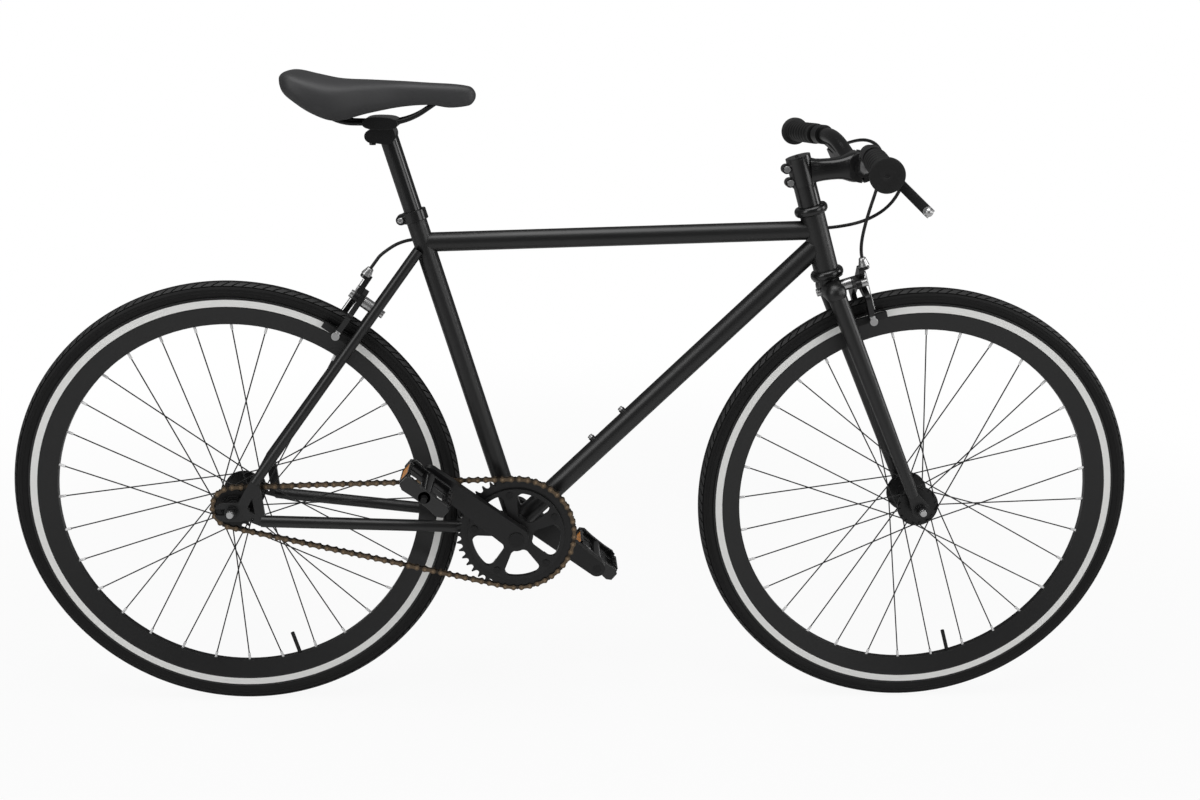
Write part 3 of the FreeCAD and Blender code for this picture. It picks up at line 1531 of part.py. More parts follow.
def brake_pad(sign, low, high):
    """Rubber shoe beside the rim, with the bolt that holds it in its arm."""
    inner = sign * (rim_width / 2 + pad_gap)
    outer = inner + sign * pad_thickness
    middle = (low + high) / 2
    box = Part.makeBox(pad_thickness, pad_height, pad_length,
                       V(min(inner, outer), -brake_reach - pad_height / 2, middle - pad_length / 2))
    arm_inner = outer
    arm_outer = arm_inner + sign * brake_arm_radius * 2
    centre = V(0, -brake_reach, middle)
    side = V(1, 0, 0)
    shank = tube(centre + side * arm_inner, centre + side * arm_outer, pad_bolt_radius)
    head = tube(centre + side * arm_outer, centre + side * (arm_outer + sign * pad_bolt_head_width),
                pad_bolt_head_radius)
    return box, shank, head


def brake_arm(sign, low, high, cable_end):
    """One arm: pivot boss, shoulder, foot at the pad and an extension to the cable."""
    shoulder = V(sign * brake_shoulder_reach, -brake_shoulder_drop, 0)
    pad_outer = rim_width / 2 + pad_gap + pad_thickness
    foot = V(sign * (pad_outer + brake_arm_radius), -brake_reach, 0)
    shapes = [
        link(ORIGIN, shoulder, brake_boss_radius, brake_arm_radius, low, high),
        link(shoulder, foot, brake_arm_radius, brake_arm_radius - fit_gap, low, high),
        link(ORIGIN, cable_end, brake_boss_radius, brake_arm_radius - fit_gap, low, high),
    ]
    box, shank, head = brake_pad(sign, low, high)
    bore = tube(V(0, 0, low), V(0, 0, high), brake_bolt_radius + bearing_gap)
    bolt = shank.fuse(head)
    return fused(shapes).cut(bore).cut(bolt), box, bolt


def make_brake(origin, side, up, mount_depth):
    """Both arms of a side-pull brake, with pads, cable adjuster, anchor and pivot bolt."""
    low = brake_stand_off
    middle = low + brake_arm_thickness
    top = middle + running_gap
    high = top + brake_arm_thickness
    where = placement(origin, side, up)
    upper_end = V(-cable_side_reach, adjuster_height - adjuster_length, 0)
    lower_end = V(-cable_side_reach, anchor_rise, 0)
    near = list(brake_arm(-1, top, high, upper_end))
    far = list(brake_arm(1, low, middle, lower_end))
    cable_depth = high + cable_proud
    adjuster_low = upper_end + UP * cable_depth
    adjuster_high = adjuster_low + V(0, adjuster_length, 0)
    near[0] = near[0].fuse(tube(adjuster_low, adjuster_high, adjuster_radius))
    anchor = tube(lower_end + UP * middle, lower_end + UP * (cable_depth - wire_radius), anchor_radius)
    wire_low = lower_end + V(0, -wire_tail, cable_depth)
    wire = tube(wire_low, adjuster_low - V(0, wire_gap, 0), wire_radius)
    far += [anchor, wire]
    bolt_end = high + running_gap
    bolt = tube(V(0, 0, -mount_depth - brake_nut_width), V(0, 0, bolt_end), brake_bolt_radius)
    bolt_head = tube(V(0, 0, bolt_end), V(0, 0, bolt_end + brake_nut_width), brake_nut_radius)
    spacer = ring(ORIGIN, UP, low - running_gap, brake_boss_radius, brake_bolt_radius)
    nut = ring(UP * -mount_depth, UP * -1, brake_nut_width, brake_nut_radius, brake_bolt_radius)
    bolts = [bolt.fuse(bolt_head), spacer, nut]
    groups = [[placed(shape, where) for shape in group] for group in (near, far, bolts)]
    return groups, where.multVec(adjuster_high)


front_pivot_point = crown_point + steer_ahead * crown_radius
rear_pivot_point = rear_bridge_point + rear_brake_out * bridge_radius
front_groups, front_cable_end = make_brake(front_pivot_point, LEFT, steer_up, crown_radius * 2)
rear_groups, rear_cable_end = make_brake(rear_pivot_point, LEFT * -1, rear_brake_up, bridge_radius * 2)
front_near, front_far, front_bolt = front_groups
rear_near, rear_far, rear_bolt = rear_groups
keep("front_brake_arm_right", *front_near)
keep("front_brake_arm_left", *front_far)
keep("front_brake_bolt", *front_bolt)
keep("rear_brake_arm_left", *rear_near)
keep("rear_brake_arm_right", *rear_far)
keep("rear_brake_bolt", *rear_bolt)


# Seat


post_top_point = on_seat_tube(seat_tube_length + seatpost_rise)
rail_height = post_top_point.z + post_head_radius + rail_radius
saddle_seat = V(post_top_point.x + saddle_nose_ahead, 0, rail_height)

# Saddle sections from the nose to the tail, as shares of the saddle's length, half width and
# rise over the rails: place, half width, top, lower edge
saddle_section_shares = (
    (0.00, 0.15, 0.65, 0.41),
    (0.06, 0.23, 0.75, 0.33),
    (0.20, 0.28, 0.78, 0.34),
    (0.38, 0.37, 0.81, 0.31),
    (0.54, 0.64, 0.825, 0.19),
    (0.70, 0.93, 0.84, 0.05),
    (0.82, 0.97, 0.92, 0.20),
    (0.93, 0.85, 1.00, 0.47),
    (1.00, 0.58, 0.95, 0.66),
)
saddle_foot_share = 0.82
saddle_shoulder_share = 0.72
saddle_crown_share = 0.16
saddle_arch_share = 0.42
saddle_base_share = 0.84


def saddle_corner(section):
    """Place behind the nose, half width, top and lower edge over the rails, in millimetres."""
    place, half, top, low = section
    return -saddle_length * place, saddle_width / 2 * half, saddle_rise * top, saddle_rise * low


def padding_wire(section):
    """Crowned top, bulging sides and an arched underside."""
    x, half, top, low = saddle_corner(section)
    height = top - low
    foot = half * saddle_foot_share
    shoulder = half * saddle_shoulder_share
    shoulder_z = top - height * saddle_crown_share
    middle_z = (low + shoulder_z) / 2
    arch = V(x, 0, low + height * saddle_arch_share)
    edges = [
        Part.Arc(V(x, -foot, low), arch, V(x, foot, low)).toShape(),
        Part.Arc(V(x, foot, low), V(x, half, middle_z), V(x, shoulder, shoulder_z)).toShape(),
        Part.Arc(V(x, shoulder, shoulder_z), V(x, 0, top), V(x, -shoulder, shoulder_z)).toShape(),
        Part.Arc(V(x, -shoulder, shoulder_z), V(x, -half, middle_z), V(x, -foot, low)).toShape(),
    ]
    return Part.Wire(edges)


def base_wire(section):
    """Thin arched shell let into the padding's underside."""
    x, half, top, low = saddle_corner(section)
    foot = half * saddle_foot_share
    rise = (top - low) * saddle_arch_share
    curve = (foot ** 2 + rise ** 2) / (2 * rise)
    centre = V(x, 0, low + rise - curve)
    lean = math.asin(foot * saddle_base_share / curve)
    inner = curve + saddle_base_embed - saddle_base_thickness
    outer = curve + saddle_base_embed
    side = V(0, math.sin(lean), math.cos(lean))
    other = V(0, -math.sin(lean), math.cos(lean))
    edges = [
        Part.Arc(centre + other * inner, centre + UP * inner, centre + side * inner).toShape(),
        Part.LineSegment(centre + side * inner, centre + side * outer).toShape(),
        Part.Arc(centre + side * outer, centre + UP * outer, centre + other * outer).toShape(),
        Part.LineSegment(centre + other * outer, centre + other * inner).toShape(),
    ]
    return Part.Wire(edges)


# Right rail from its rear end to its front end, as shares of the saddle's length from the nose,
# of its half width and of its rise
rail_point_shares = ((0.87, 0.50, 0.55), (0.72, 0.31, 0.0), (0.36, 0.28, 0.0), (0.15, 0.10, 0.55))


def make_rail(cutters):
    points = [saddle_seat + V(-saddle_length * place, -saddle_width / 2 * side, saddle_rise * rise)
              for place, side, rise in rail_point_shares]
    path, _ = cord_path(points)
    circle = Part.Wire([Part.makeCircle(rail_radius, points[0], points[1] - points[0])])
    rod = path.makePipeShell([circle], True, False)
    for cutter in cutters:
        rod = rod.cut(cutter)
    return largest(rod)


def post_head():
    """Rounded head that reaches back from the top of the post."""
    tail = V(-post_head_setback, -post_head_drop, 0)
    half = post_head_width / 2
    form = link(ORIGIN, tail, post_head_radius, post_head_tail_radius, -half, half)
    return placed(form, placement(post_top_point, V(1, 0, 0), UP))


def make_clamp_bolt():
    """Upright bolt that pulls the cradle down on the back of the post head."""
    seat = post_top_point - V(post_head_setback, 0, post_head_drop + post_head_tail_radius)
    top = V(seat.x, 0, rail_height + rail_clamp_height / 2)
    head = tube(seat - UP * clamp_bolt_head_height, seat, clamp_bolt_head_radius)
    return tube(seat, top, clamp_bolt_radius).fuse(head)


def make_seatpost():
    low = post_top_point - seat_up * seatpost_length
    bore = tube(low, post_top_point - seat_up * post_head_radius, seatpost_radius - seatpost_wall)
    return fused([tube(low, post_top_point, seatpost_radius), post_head()]).cut(bore).cut(clamp_bolt)


def make_saddle_clamp(rails):
    """Cradle that grips both rails on the seatpost head."""
    middle = V(post_top_point.x - rail_clamp_setback, 0, rail_height)
    width = (rail_spread + rail_clamp_margin) * 2
    corner = middle - V(rail_clamp_length / 2, width / 2, rail_clamp_height / 2)
    block = Part.makeBox(rail_clamp_length, width, rail_clamp_height, corner)
    for cutter in [post_head(), clamp_bolt] + rails:
        block = block.cut(cutter)
    return largest(block)


clamp_bolt = make_clamp_bolt()
padding = Part.makeLoft([padding_wire(section) for section in saddle_section_shares], True, False)
base = Part.makeLoft([base_wire(section) for section in saddle_section_shares[1:-1]], True, False)
padding = largest(padding.cut(base))
padding.translate(saddle_seat)
base.translate(saddle_seat)
rail_right = make_rail([base, padding])
rails = both_sides(rail_right)
keep("seatpost", make_seatpost())
keep("saddle_clamp", make_saddle_clamp(rails), clamp_bolt)
keep("saddle_rails", *rails)
keep("saddle_base", base)
keep("saddle_padding", padding)


# Brake cables, each along hand-chosen bends between its fixed ends


def perch_lead(side, lead):
    """Point ahead of a lever bracket's cable barrel, on the barrel's axis; the left is positive."""
    point = lever_pivot - grip_axis * (perch_barrel_length + lead) - lever_reach_axis * lever_boss_radius
    return V(point.x, point.y * -side, point.z)


top_tube_run = top_tube_front - top_tube_rear
cable_joint_gap = V(top_tube_run).normalize() * fit_gap


def beside_top_tube(share):
    return top_tube_rear + top_tube_run * share + LEFT * rear_cable_side


def bends_from(start, offsets):
    return [start + V(*offset) for offset in offsets]


front_cable_points = [
    perch_lead(1, 0),
    perch_lead(1, cable_lead),
    *bends_from(bar_clamp_point, front_bar_bends),
    front_cable_end + V(*front_brake_bend),
    front_cable_end + steer_up * cable_lead,
    front_cable_end,
]
loop_points = [
    perch_lead(-1, 0),
    perch_lead(-1, cable_lead),
    *bends_from(bar_clamp_point, loop_bar_bends),
    *bends_from(top_tube_front, loop_head_bends),
    beside_top_tube(loop_lead_share),
    beside_top_tube(loop_end_share) + cable_joint_gap,
]
rear_cable_points = [
    beside_top_tube(loop_end_share),
    beside_top_tube(rear_bend_share),
    *bends_from(top_tube_rear, rear_seat_bends),
    rear_cable_end + V(*rear_brake_bend),
    rear_cable_end + rear_brake_up * cable_lead,
    rear_cable_end,
]
keep("front_brake_cable", cable("front_brake_cable", front_cable_points))
keep("rear_brake_cable_loop", cable("rear_brake_cable_loop", loop_points))
keep("rear_brake_cable", cable("rear_brake_cable", rear_cable_points))


os.makedirs("parts", exist_ok=True)
for name, solids in parts.items():
    shape = solids[0] if len(solids) == 1 else Part.makeCompound(solids)
    shape.exportStep("parts/%s.step" % name)
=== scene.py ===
"""Looks of the fixed gear bike: finishes, rubber, padding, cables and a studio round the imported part."""

import json
from math import asin, copysign, cos, pi, radians, sin, sqrt, tau

import bmesh
import bpy
from bpy.props import FloatProperty, FloatVectorProperty, IntProperty, PointerProperty
from mathutils import Matrix, Vector


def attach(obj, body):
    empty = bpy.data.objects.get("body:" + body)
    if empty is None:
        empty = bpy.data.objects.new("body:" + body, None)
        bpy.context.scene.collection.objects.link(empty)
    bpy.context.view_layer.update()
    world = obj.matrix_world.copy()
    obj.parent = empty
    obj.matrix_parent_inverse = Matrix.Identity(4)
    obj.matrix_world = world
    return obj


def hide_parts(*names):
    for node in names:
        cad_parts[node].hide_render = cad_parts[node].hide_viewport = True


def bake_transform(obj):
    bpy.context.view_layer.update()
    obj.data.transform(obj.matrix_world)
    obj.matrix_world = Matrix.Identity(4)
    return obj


bl_info = {
    "name": "Fixed gear bike looks",
    "version": (1, 0, 0),
    "blender": (4, 5, 0),
    "location": "3D View > Sidebar > Bike",
    "description": "Finishes, tyres, saddle, grips, cables and stage for the fixed gear bike",
    "category": "Object",
}

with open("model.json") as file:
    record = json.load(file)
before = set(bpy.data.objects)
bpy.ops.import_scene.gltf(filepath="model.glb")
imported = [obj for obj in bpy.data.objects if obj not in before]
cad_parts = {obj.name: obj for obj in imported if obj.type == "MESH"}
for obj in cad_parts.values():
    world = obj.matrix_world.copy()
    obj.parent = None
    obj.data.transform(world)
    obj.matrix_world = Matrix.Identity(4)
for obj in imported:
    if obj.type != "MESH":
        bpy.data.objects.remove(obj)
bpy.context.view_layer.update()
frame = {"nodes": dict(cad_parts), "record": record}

MM = 0.001
LOOK = "_look"

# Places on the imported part, in metres
FRONT_AXLE = Vector((0.525, 0, 0.34))
REAR_AXLE = Vector((-0.525, 0, 0.34))
BRACKET = Vector((-0.0990124, 0, 0.298))
STEER_UP = Vector((-0.3007058, 0, 0.95371695))
GRIP_END = Vector((0.3645598, -0.315, 0.8828421))
GRIP_AXIS = Vector((-0.11027783, -0.99250044, -0.05274157))
LEVER_TIP = Vector((0.4335143, -0.2706554, 0.8314733))
PEDAL_RIGHT = Vector((-0.2290341, -0.055, 0.3995841))
PEDAL_LEFT = Vector((0.0310094, 0.055, 0.1964159))
FRONT_BRAKE = Vector((0.3887145, 0, 0.680791))
REAR_BRAKE = Vector((-0.3150268, 0, 0.6410325))
REAR_BRAKE_UP = Vector((0.58211627, 0, 0.81310556))
STEM_ROOT = Vector((0.31833, 0, 0.85079))
STEM_AXIS = Vector((0.9944, 0, 0.1056))
PINCH_BOLTS = (Vector((0.301594, -0.0075, 0.834613)), Vector((0.295339, -0.0075, 0.85445)))
PINCH_HEAD = 4.7 * MM
LEVER_BALL = 7.4 * MM
HEAD_LOW = Vector((0.364133, 0, 0.705545))
HEAD_HIGH = Vector((0.337671, 0, 0.789472))
SEAT_UP = Vector((-0.2974, 0, 0.95475))
SEAT_AHEAD = Vector((0.95475, 0, 0.2974))
SEAT_TUBE_TOP = Vector((-0.251268, 0, 0.786838))
SEAT_BOLT = Vector((-0.269178, -0.008, 0.77288))
POST_TOP = Vector((-0.285466, 0, 0.896635))
FRONT_ADJUSTER = Vector((0.409399, -0.034, 0.729254))
REAR_ADJUSTER = Vector((-0.319632, 0.034, 0.693523))
SADDLE_NOSE = -0.1584664
SADDLE_RAIL = 0.913135
AHEAD = Vector((1, 0, 0))
LEFT = Vector((0, 1, 0))
UP = Vector((0, 0, 1))
# The chain's middle plane, and how far its rollers, inner plates and outer plates reach from there
CHAIN_LINE = 45.0 * MM
ROLLER_EDGE = 1.68 * MM
INNER_EDGE = 2.75 * MM
OUTER_EDGE = 3.85 * MM
TYRE_CENTRE = 326.0 * MM
TYRE_RADIUS = 14.0 * MM

# Saddle sections from nose to tail: place, half width, top and lower edge as shares
SADDLE_SHARES = (
    (0, 0.18, 0.7, 0.38), (0.045, 0.22, 0.74, 0.34), (0.1, 0.25, 0.765, 0.31),
    (0.145, 0.265, 0.775, 0.305), (0.23, 0.29, 0.785, 0.355), (0.38, 0.37, 0.81, 0.31),
    (0.54, 0.64, 0.825, 0.19), (0.7, 0.93, 0.84, 0.05), (0.82, 0.97, 0.92, 0.2),
    (0.93, 0.85, 1, 0.47), (1, 0.58, 0.95, 0.66),
)

# Cable routes in millimetres
FRONT_CABLE = (
    (401.36, 149.47, 876.19), (402.9, 135.57, 876.93), (420, 72, 893), (430, 24, 893), (434, -14, 880),
    (428, -32, 845), (411, -34, 785), (405.19, -34, 742.60), (409.40, -34, 729.25),
)
CABLE_LOOP = (
    (401.36, -149.47, 876.19), (402.9, -135.57, 876.93), (432, -98, 880), (449, -76, 858), (454, -50, 830),
    (444, -20, 800), (420, 10, 777), (386, 25, 766), (346, 27, 762), (310.56, 17.9, 763.20),
    (281.45, 17.9, 761.97),
)
REAR_CABLE = (
    (281.40, 17.9, 761.97), (-190.12, 17.9, 742.02), (-230, 26, 742), (-272, 31, 737), (-303, 34, 716),
    (-311.48, 34, 704.90), (-319.63, 34, 693.52),
)


def length(name, description, millimetres):
    return FloatProperty(name=name, description=description, default=millimetres * MM, unit="LENGTH")


def colour(name, description, tone):
    return FloatVectorProperty(name=name, description=description, default=tone, subtype="COLOR")


class BikeSizes(bpy.types.PropertyGroup):
    tread_blocks: IntProperty(
        name="Tread blocks", description="Shoulder blocks round each tyre", default=140, min=12)
    tread_depth: length("Tread depth", "Depth of the cuts between shoulder blocks", 1.5)
    grip_ribs: IntProperty(name="Grip ribs", description="Rounded ribs along each grip", default=7, min=1)
    rib_height: length("Rib height", "How far a rib stands over its valley", 1.6)
    cable_radius: length("Cable radius", "Outer radius of the cable casing", 2.5)
    edge_radius: length("Edge radius", "Rounding that the finishes show on sharp edges", 0.7)


class BikeColours(bpy.types.PropertyGroup):
    frame_black: colour("Frame", "Satin paint of frame and fork", (0.006, 0.006, 0.0062))
    alloy_black: colour("Black alloy", "Anodised black of the light parts", (0.0085, 0.0085, 0.0088))
    rubber_black: colour("Rubber", "Tyres and grips", (0.0095, 0.0095, 0.0096))
    band_silver: colour("Brake band", "Machined band on the rims", (0.95, 0.95, 0.93))
    bright_metal: colour("Bright metal", "Plated bolts and nuts", (0.62, 0.62, 0.62))
    chain_bronze: colour("Chain", "Brown steel of the chain", (0.075, 0.052, 0.031))
    saddle_grey: colour("Saddle", "Saddle cover", (0.033, 0.033, 0.0345))
    reflector_orange: colour("Reflectors", "Pedal reflector lenses", (0.92, 0.33, 0.02))


class Value:
    """A shader socket that takes part in arithmetic; each step adds one Math node."""

    def __init__(self, finish, socket):
        self.finish = finish
        self.socket = socket

    def step(self, operation, *terms):
        return self.finish.value("ShaderNodeMath", dict(enumerate((self,) + terms)), operation=operation)

    def __add__(self, other):
        return self.step("ADD", other)

    def __sub__(self, other):
        return self.step("SUBTRACT", other)

    def __mul__(self, other):
        return self.step("MULTIPLY", other)

    def __truediv__(self, other):
        return self.step("DIVIDE", other)

    def __lt__(self, other):
        return self.step("LESS_THAN", other)

    def __gt__(self, other):
        return self.step("GREATER_THAN", other)

    def __or__(self, other):
        return self.step("MAXIMUM", other)

    def __pow__(self, other):
        return self.step("POWER", other)

    def __neg__(self):
        return self * -1.0

    def __abs__(self):
        return self.step("ABSOLUTE")

    def hypot(self, other):
        return (self * self + other * other) ** 0.5


class Finish:
    """The nodes of one procedural material, or of the world."""

    def __init__(self, name, owner=None):
        self.owner = owner or bpy.data.materials.new(name + LOOK)
        self.owner.use_nodes = True
        self.tree = self.owner.node_tree
        self.tree.nodes.clear()
        self.spot = None

    def node(self, kind, sockets=None, **settings):
        node = self.tree.nodes.new(kind)
        for key, setting in settings.items():
            setattr(node, key, setting)
        for key, given in (sockets or {}).items():
            if isinstance(given, Value):
                self.tree.links.new(given.socket, node.inputs[key])
            else:
                node.inputs[key].default_value = given
        return node

    def value(self, kind, sockets=None, output=0, **settings):
        return Value(self, self.node(kind, sockets, **settings).outputs[output])

    def vector(self, operation, *terms, output="Value"):
        return self.value("ShaderNodeVectorMath", dict(enumerate(terms)), output, operation=operation)

    def place(self):
        if self.spot is None:
            self.spot = self.value("ShaderNodeTexCoord", output="Object")
        return self.spot

    def axes(self):
        """The place ahead, to the left and up, in metres."""
        return [Value(self, part) for part in self.node("ShaderNodeSeparateXYZ", {0: self.place()}).outputs]

    def along(self, origin, axis):
        """Distance from the origin along a direction, in metres."""
        return self.vector("DOT_PRODUCT", self.place(), tuple(axis)) - origin.dot(axis)

    def away(self, origin):
        """Distance from a point, in metres."""
        return self.vector("DISTANCE", self.place(), tuple(origin))

    def wheel_radius(self):
        """Distance from the axle of the wheel that the place belongs to, seen from the side."""
        ahead, _, up = self.axes()
        return (abs(ahead) - FRONT_AXLE.x).hypot(up - FRONT_AXLE.z)

    def noise(self, scale, detail=2.0):
        return self.value("ShaderNodeTexNoise", {"Vector": self.place(), "Scale": scale, "Detail": detail})

    def mixed(self, factor, first, second):
        return self.value("ShaderNodeMix", {0: factor, 6: first, 7: second}, 2, data_type="RGBA")

    def tinted(self, factor, tone, low, high):
        """A colour that runs from one share of itself to another."""
        return self.mixed(factor, shade(tone, low), shade(tone, high))

    def plated(self, mask, drift, colours, black=(0.8, 1.2), bright=(0.85, 1.05)):
        """Black alloy, and plated metal where the mask is 1."""
        dark = self.tinted(drift, colours.alloy_black, *black)
        return self.mixed(mask, dark, self.tinted(drift, colours.bright_metal, *bright))

    def edges(self, radius):
        return self.value("ShaderNodeBevel", {"Radius": radius}, "Normal", samples=6)

    def bump(self, height, depth, normal=None):
        sockets = {"Height": height, "Distance": depth, "Strength": 1.0}
        if normal is not None:
            sockets["Normal"] = normal
        return self.value("ShaderNodeBump", sockets, "Normal")

    def surface(self, **sockets):
        named = {key.replace("_", " "): given for key, given in sockets.items()}
        self.node("ShaderNodeOutputMaterial", {"Surface": self.value("ShaderNodeBsdfPrincipled", named)})


def look(name):
    """A finish made earlier; the ending tells it from the plain material of the same slot."""
    return bpy.data.materials[name + LOOK]


def shade(tone, share):
    return (tone[0] * share, tone[1] * share, tone[2] * share, 1.0)


def coated(name, tone, roughness, grain, depth, edge, coat=0.0, metal=0.0, shine=0.4):
    """Paint, plastic or plate: a slightly uneven colour and gloss with softened edges."""
    finish = Finish(name)
    drift = finish.noise(9.0)
    finish.surface(
        Base_Color=finish.tinted(drift, tone, 0.85, 1.15), Roughness=drift * 0.08 + (roughness - 0.04),
        Metallic=metal, Coat_Weight=coat, Coat_Roughness=0.12, Specular_IOR_Level=shine,
        Normal=finish.bump(finish.noise(grain, 1.0), depth, finish.edges(edge)))


# Where the finishes of the wheels change, by distance from the axle or from the middle plane
BAND_INNER = 303.0 * MM
BAND_OUTER = 313.4 * MM
BAND_SIDE = 9.5 * MM
NIPPLE_START = 265.2 * MM
AXLE_THREAD = 5.2 * MM
# Degrees from the crown of the tyre to the edges of its shoulder blocks, and to the last cut
BLOCK_START = radians(24.0)
BLOCK_END = radians(54.0)
CUT_END = radians(62.0)
# Depth below the tyre's round section from which the cuts get painted shade
CUT_SHOWN = 0.35 * MM


def rim_finish(colours, edge):
    """Black deep rim with a bright machined band on both flanks."""
    finish = Finish("rim_alloy")
    side = abs(finish.axes()[1])
    radius = finish.wheel_radius()
    band = (radius > BAND_INNER) * (radius < BAND_OUTER) * (side > BAND_SIDE)
    rings = finish.value(
        "ShaderNodeTexNoise", {"W": radius, "Scale": 3200.0, "Detail": 1.0}, noise_dimensions="1D")
    drift = finish.noise(8.0)
    black = finish.tinted(drift, colours.alloy_black, 0.85, 1.15)
    silver = finish.tinted(rings, colours.band_silver, 0.93, 1.0)
    finish.surface(
        Base_Color=finish.mixed(band, black, silver), Roughness=band * 0.10 + drift * 0.06 + 0.36,
        Metallic=band * 0.05, Normal=finish.bump(rings * band, 0.02 * MM, finish.edges(edge)))


def spoke_finish(colours):
    """Black spokes that end in plated nipples at the rim."""
    finish = Finish("black_steel_spokes")
    nipple = finish.wheel_radius() > NIPPLE_START
    drift = finish.noise(160.0)
    finish.surface(
        Base_Color=finish.plated(nipple, drift, colours, (0.8, 1.3), (1.2, 1.5)),
        Roughness=drift * 0.1 + 0.28, Metallic=0.1)


def axle_finish(colours, edge):
    """Black nuts and washers round a plated axle."""
    finish = Finish("axle_steel")
    thread = finish.wheel_radius() < AXLE_THREAD
    drift = finish.noise(60.0)
    finish.surface(
        Base_Color=finish.plated(thread, drift, colours, (0.8, 1.3), (0.85, 1.0)),
        Roughness=drift * 0.1 + 0.26, Metallic=thread * 0.8 + 0.1, Normal=finish.edges(edge))


def tyre_finish(colours):
    """Rubber with painted highlight on the shoulder blocks and painted shade in the cuts, told apart by depth
    below the tyre's round section.
    """
    finish = Finish("tyre_rubber")
    side = abs(finish.axes()[1])
    out = finish.wheel_radius() - TYRE_CENTRE
    slope = side.step("ARCTAN2", out)
    block = (slope > BLOCK_START) * (slope < BLOCK_END)
    # Painted shade: rubber in the cuts is painted near-black where shade falls in them
    cut = (out.hypot(side) < TYRE_RADIUS - CUT_SHOWN) * (slope < CUT_END)
    drift = finish.noise(24.0, 4.0)
    plain = finish.tinted(drift, colours.rubber_black, 0.6, 0.9)
    # Painted highlight: the shoulder blocks are painted paler than the same rubber around them
    lit_blocks = finish.mixed(block, plain, shade(colours.rubber_black, 3.6))
    finish.surface(
        Base_Color=finish.mixed(cut, lit_blocks, shade(colours.rubber_black, 0.04)), Roughness=drift * 0.15 + 0.5,
        Specular_IOR_Level=0.24, Normal=finish.bump(finish.noise(900.0, 3.0), 0.08 * MM))


def tube_finish(colours):
    finish = Finish("tube_rubber")
    drift = finish.noise(24.0, 4.0)
    finish.surface(
        Base_Color=finish.tinted(drift, colours.rubber_black, 0.75, 1.3), Roughness=drift * 0.15 + 0.43,
        Specular_IOR_Level=0.32, Normal=finish.bump(finish.noise(500.0, 3.0), 0.05 * MM))


def grip_finish(colours):
    """Soft rubber with painted shade in the valleys between the ribs, darker than the crests, alike on both
    sides.
    """
    finish = Finish("grip_rubber")
    mirror = Vector((1, -1, 1))
    folded = finish.vector("ABSOLUTE", finish.place(), output="Vector")
    from_end = finish.vector("SUBTRACT", folded, tuple(GRIP_END * mirror), output="Vector")
    along = finish.vector("DOT_PRODUCT", from_end, tuple(GRIP_AXIS * mirror))
    reach = finish.vector("LENGTH", from_end)
    radius = (reach * reach - along * along) ** 0.5
    # Painted shade: the valleys between the ribs are painted near-black where shade falls
    valley = (radius < 15.6 * MM) * (along < -7.0 * MM)
    drift = finish.noise(24.0, 4.0)
    crest = finish.tinted(drift, colours.rubber_black, 1.1, 1.5)
    finish.surface(
        Base_Color=finish.mixed(valley, crest, shade(colours.rubber_black, 0.1)),
        Roughness=drift * 0.15 + 0.44, Specular_IOR_Level=0.32,
        Normal=finish.bump(finish.noise(1400.0, 3.0), 0.08 * MM))


def chain_finish(colours, edge):
    """Brown steel painted lit and shaded by depth: painted shade on the rollers in the middle and on the
    inner plates, painted highlight on the pin ends.
    """
    finish = Finish("chain_steel")
    bronze = colours.chain_bronze
    drift = finish.noise(140.0, 3.0)
    offset = abs(abs(finish.axes()[1]) - CHAIN_LINE)
    # Painted light by distance from the chain line: painted highlight on the pin ends, then the outer plates,
    # painted shade on the inner plates and darker painted shade on the rollers
    tone = finish.mixed(offset < OUTER_EDGE, shade(bronze, 3.4), finish.tinted(drift, bronze, 1.1, 2.2))
    tone = finish.mixed(offset < INNER_EDGE, tone, shade(bronze, 0.45))
    tone = finish.mixed(offset < ROLLER_EDGE, tone, shade(bronze, 0.15))
    finish.surface(
        Base_Color=tone, Roughness=drift * 0.2 + 0.28, Metallic=0.4,
        Normal=finish.bump(finish.noise(900.0), 0.04 * MM, finish.edges(edge)))


def saddle_finish(colours):
    """Grained cover with fine pores."""
    finish = Finish("saddle_cover")
    cells = finish.value(
        "ShaderNodeTexVoronoi", {"Vector": finish.place(), "Scale": 620.0}, "Distance",
        feature="DISTANCE_TO_EDGE")
    pores = finish.noise(1500.0, 2.0)
    drift = finish.noise(14.0, 3.0)
    finish.surface(
        Base_Color=finish.tinted(drift, colours.saddle_grey, 0.8, 1.25), Roughness=drift * 0.12 + 0.46,
        Specular_IOR_Level=0.45, Normal=finish.bump(cells * 0.8 + pores * 0.5, 0.16 * MM))


def steel_finish(colours, edge):
    finish = Finish("bright_steel")
    drift = finish.noise(60.0, 3.0)
    finish.surface(
        Base_Color=finish.tinted(drift, colours.bright_metal, 0.85, 1.05), Roughness=drift * 0.12 + 0.22,
        Metallic=0.9, Normal=finish.bump(finish.noise(700.0), 0.015 * MM, finish.edges(edge)))


# Places on a brake in millimetres from its pivot: the cable wire's side and depth, and the anchor's rise
WIRE_SIDE = 34.0
WIRE_DEPTH = 34.2
ANCHOR_RISE = 3.0
ADJUSTER_LOW = 24.0


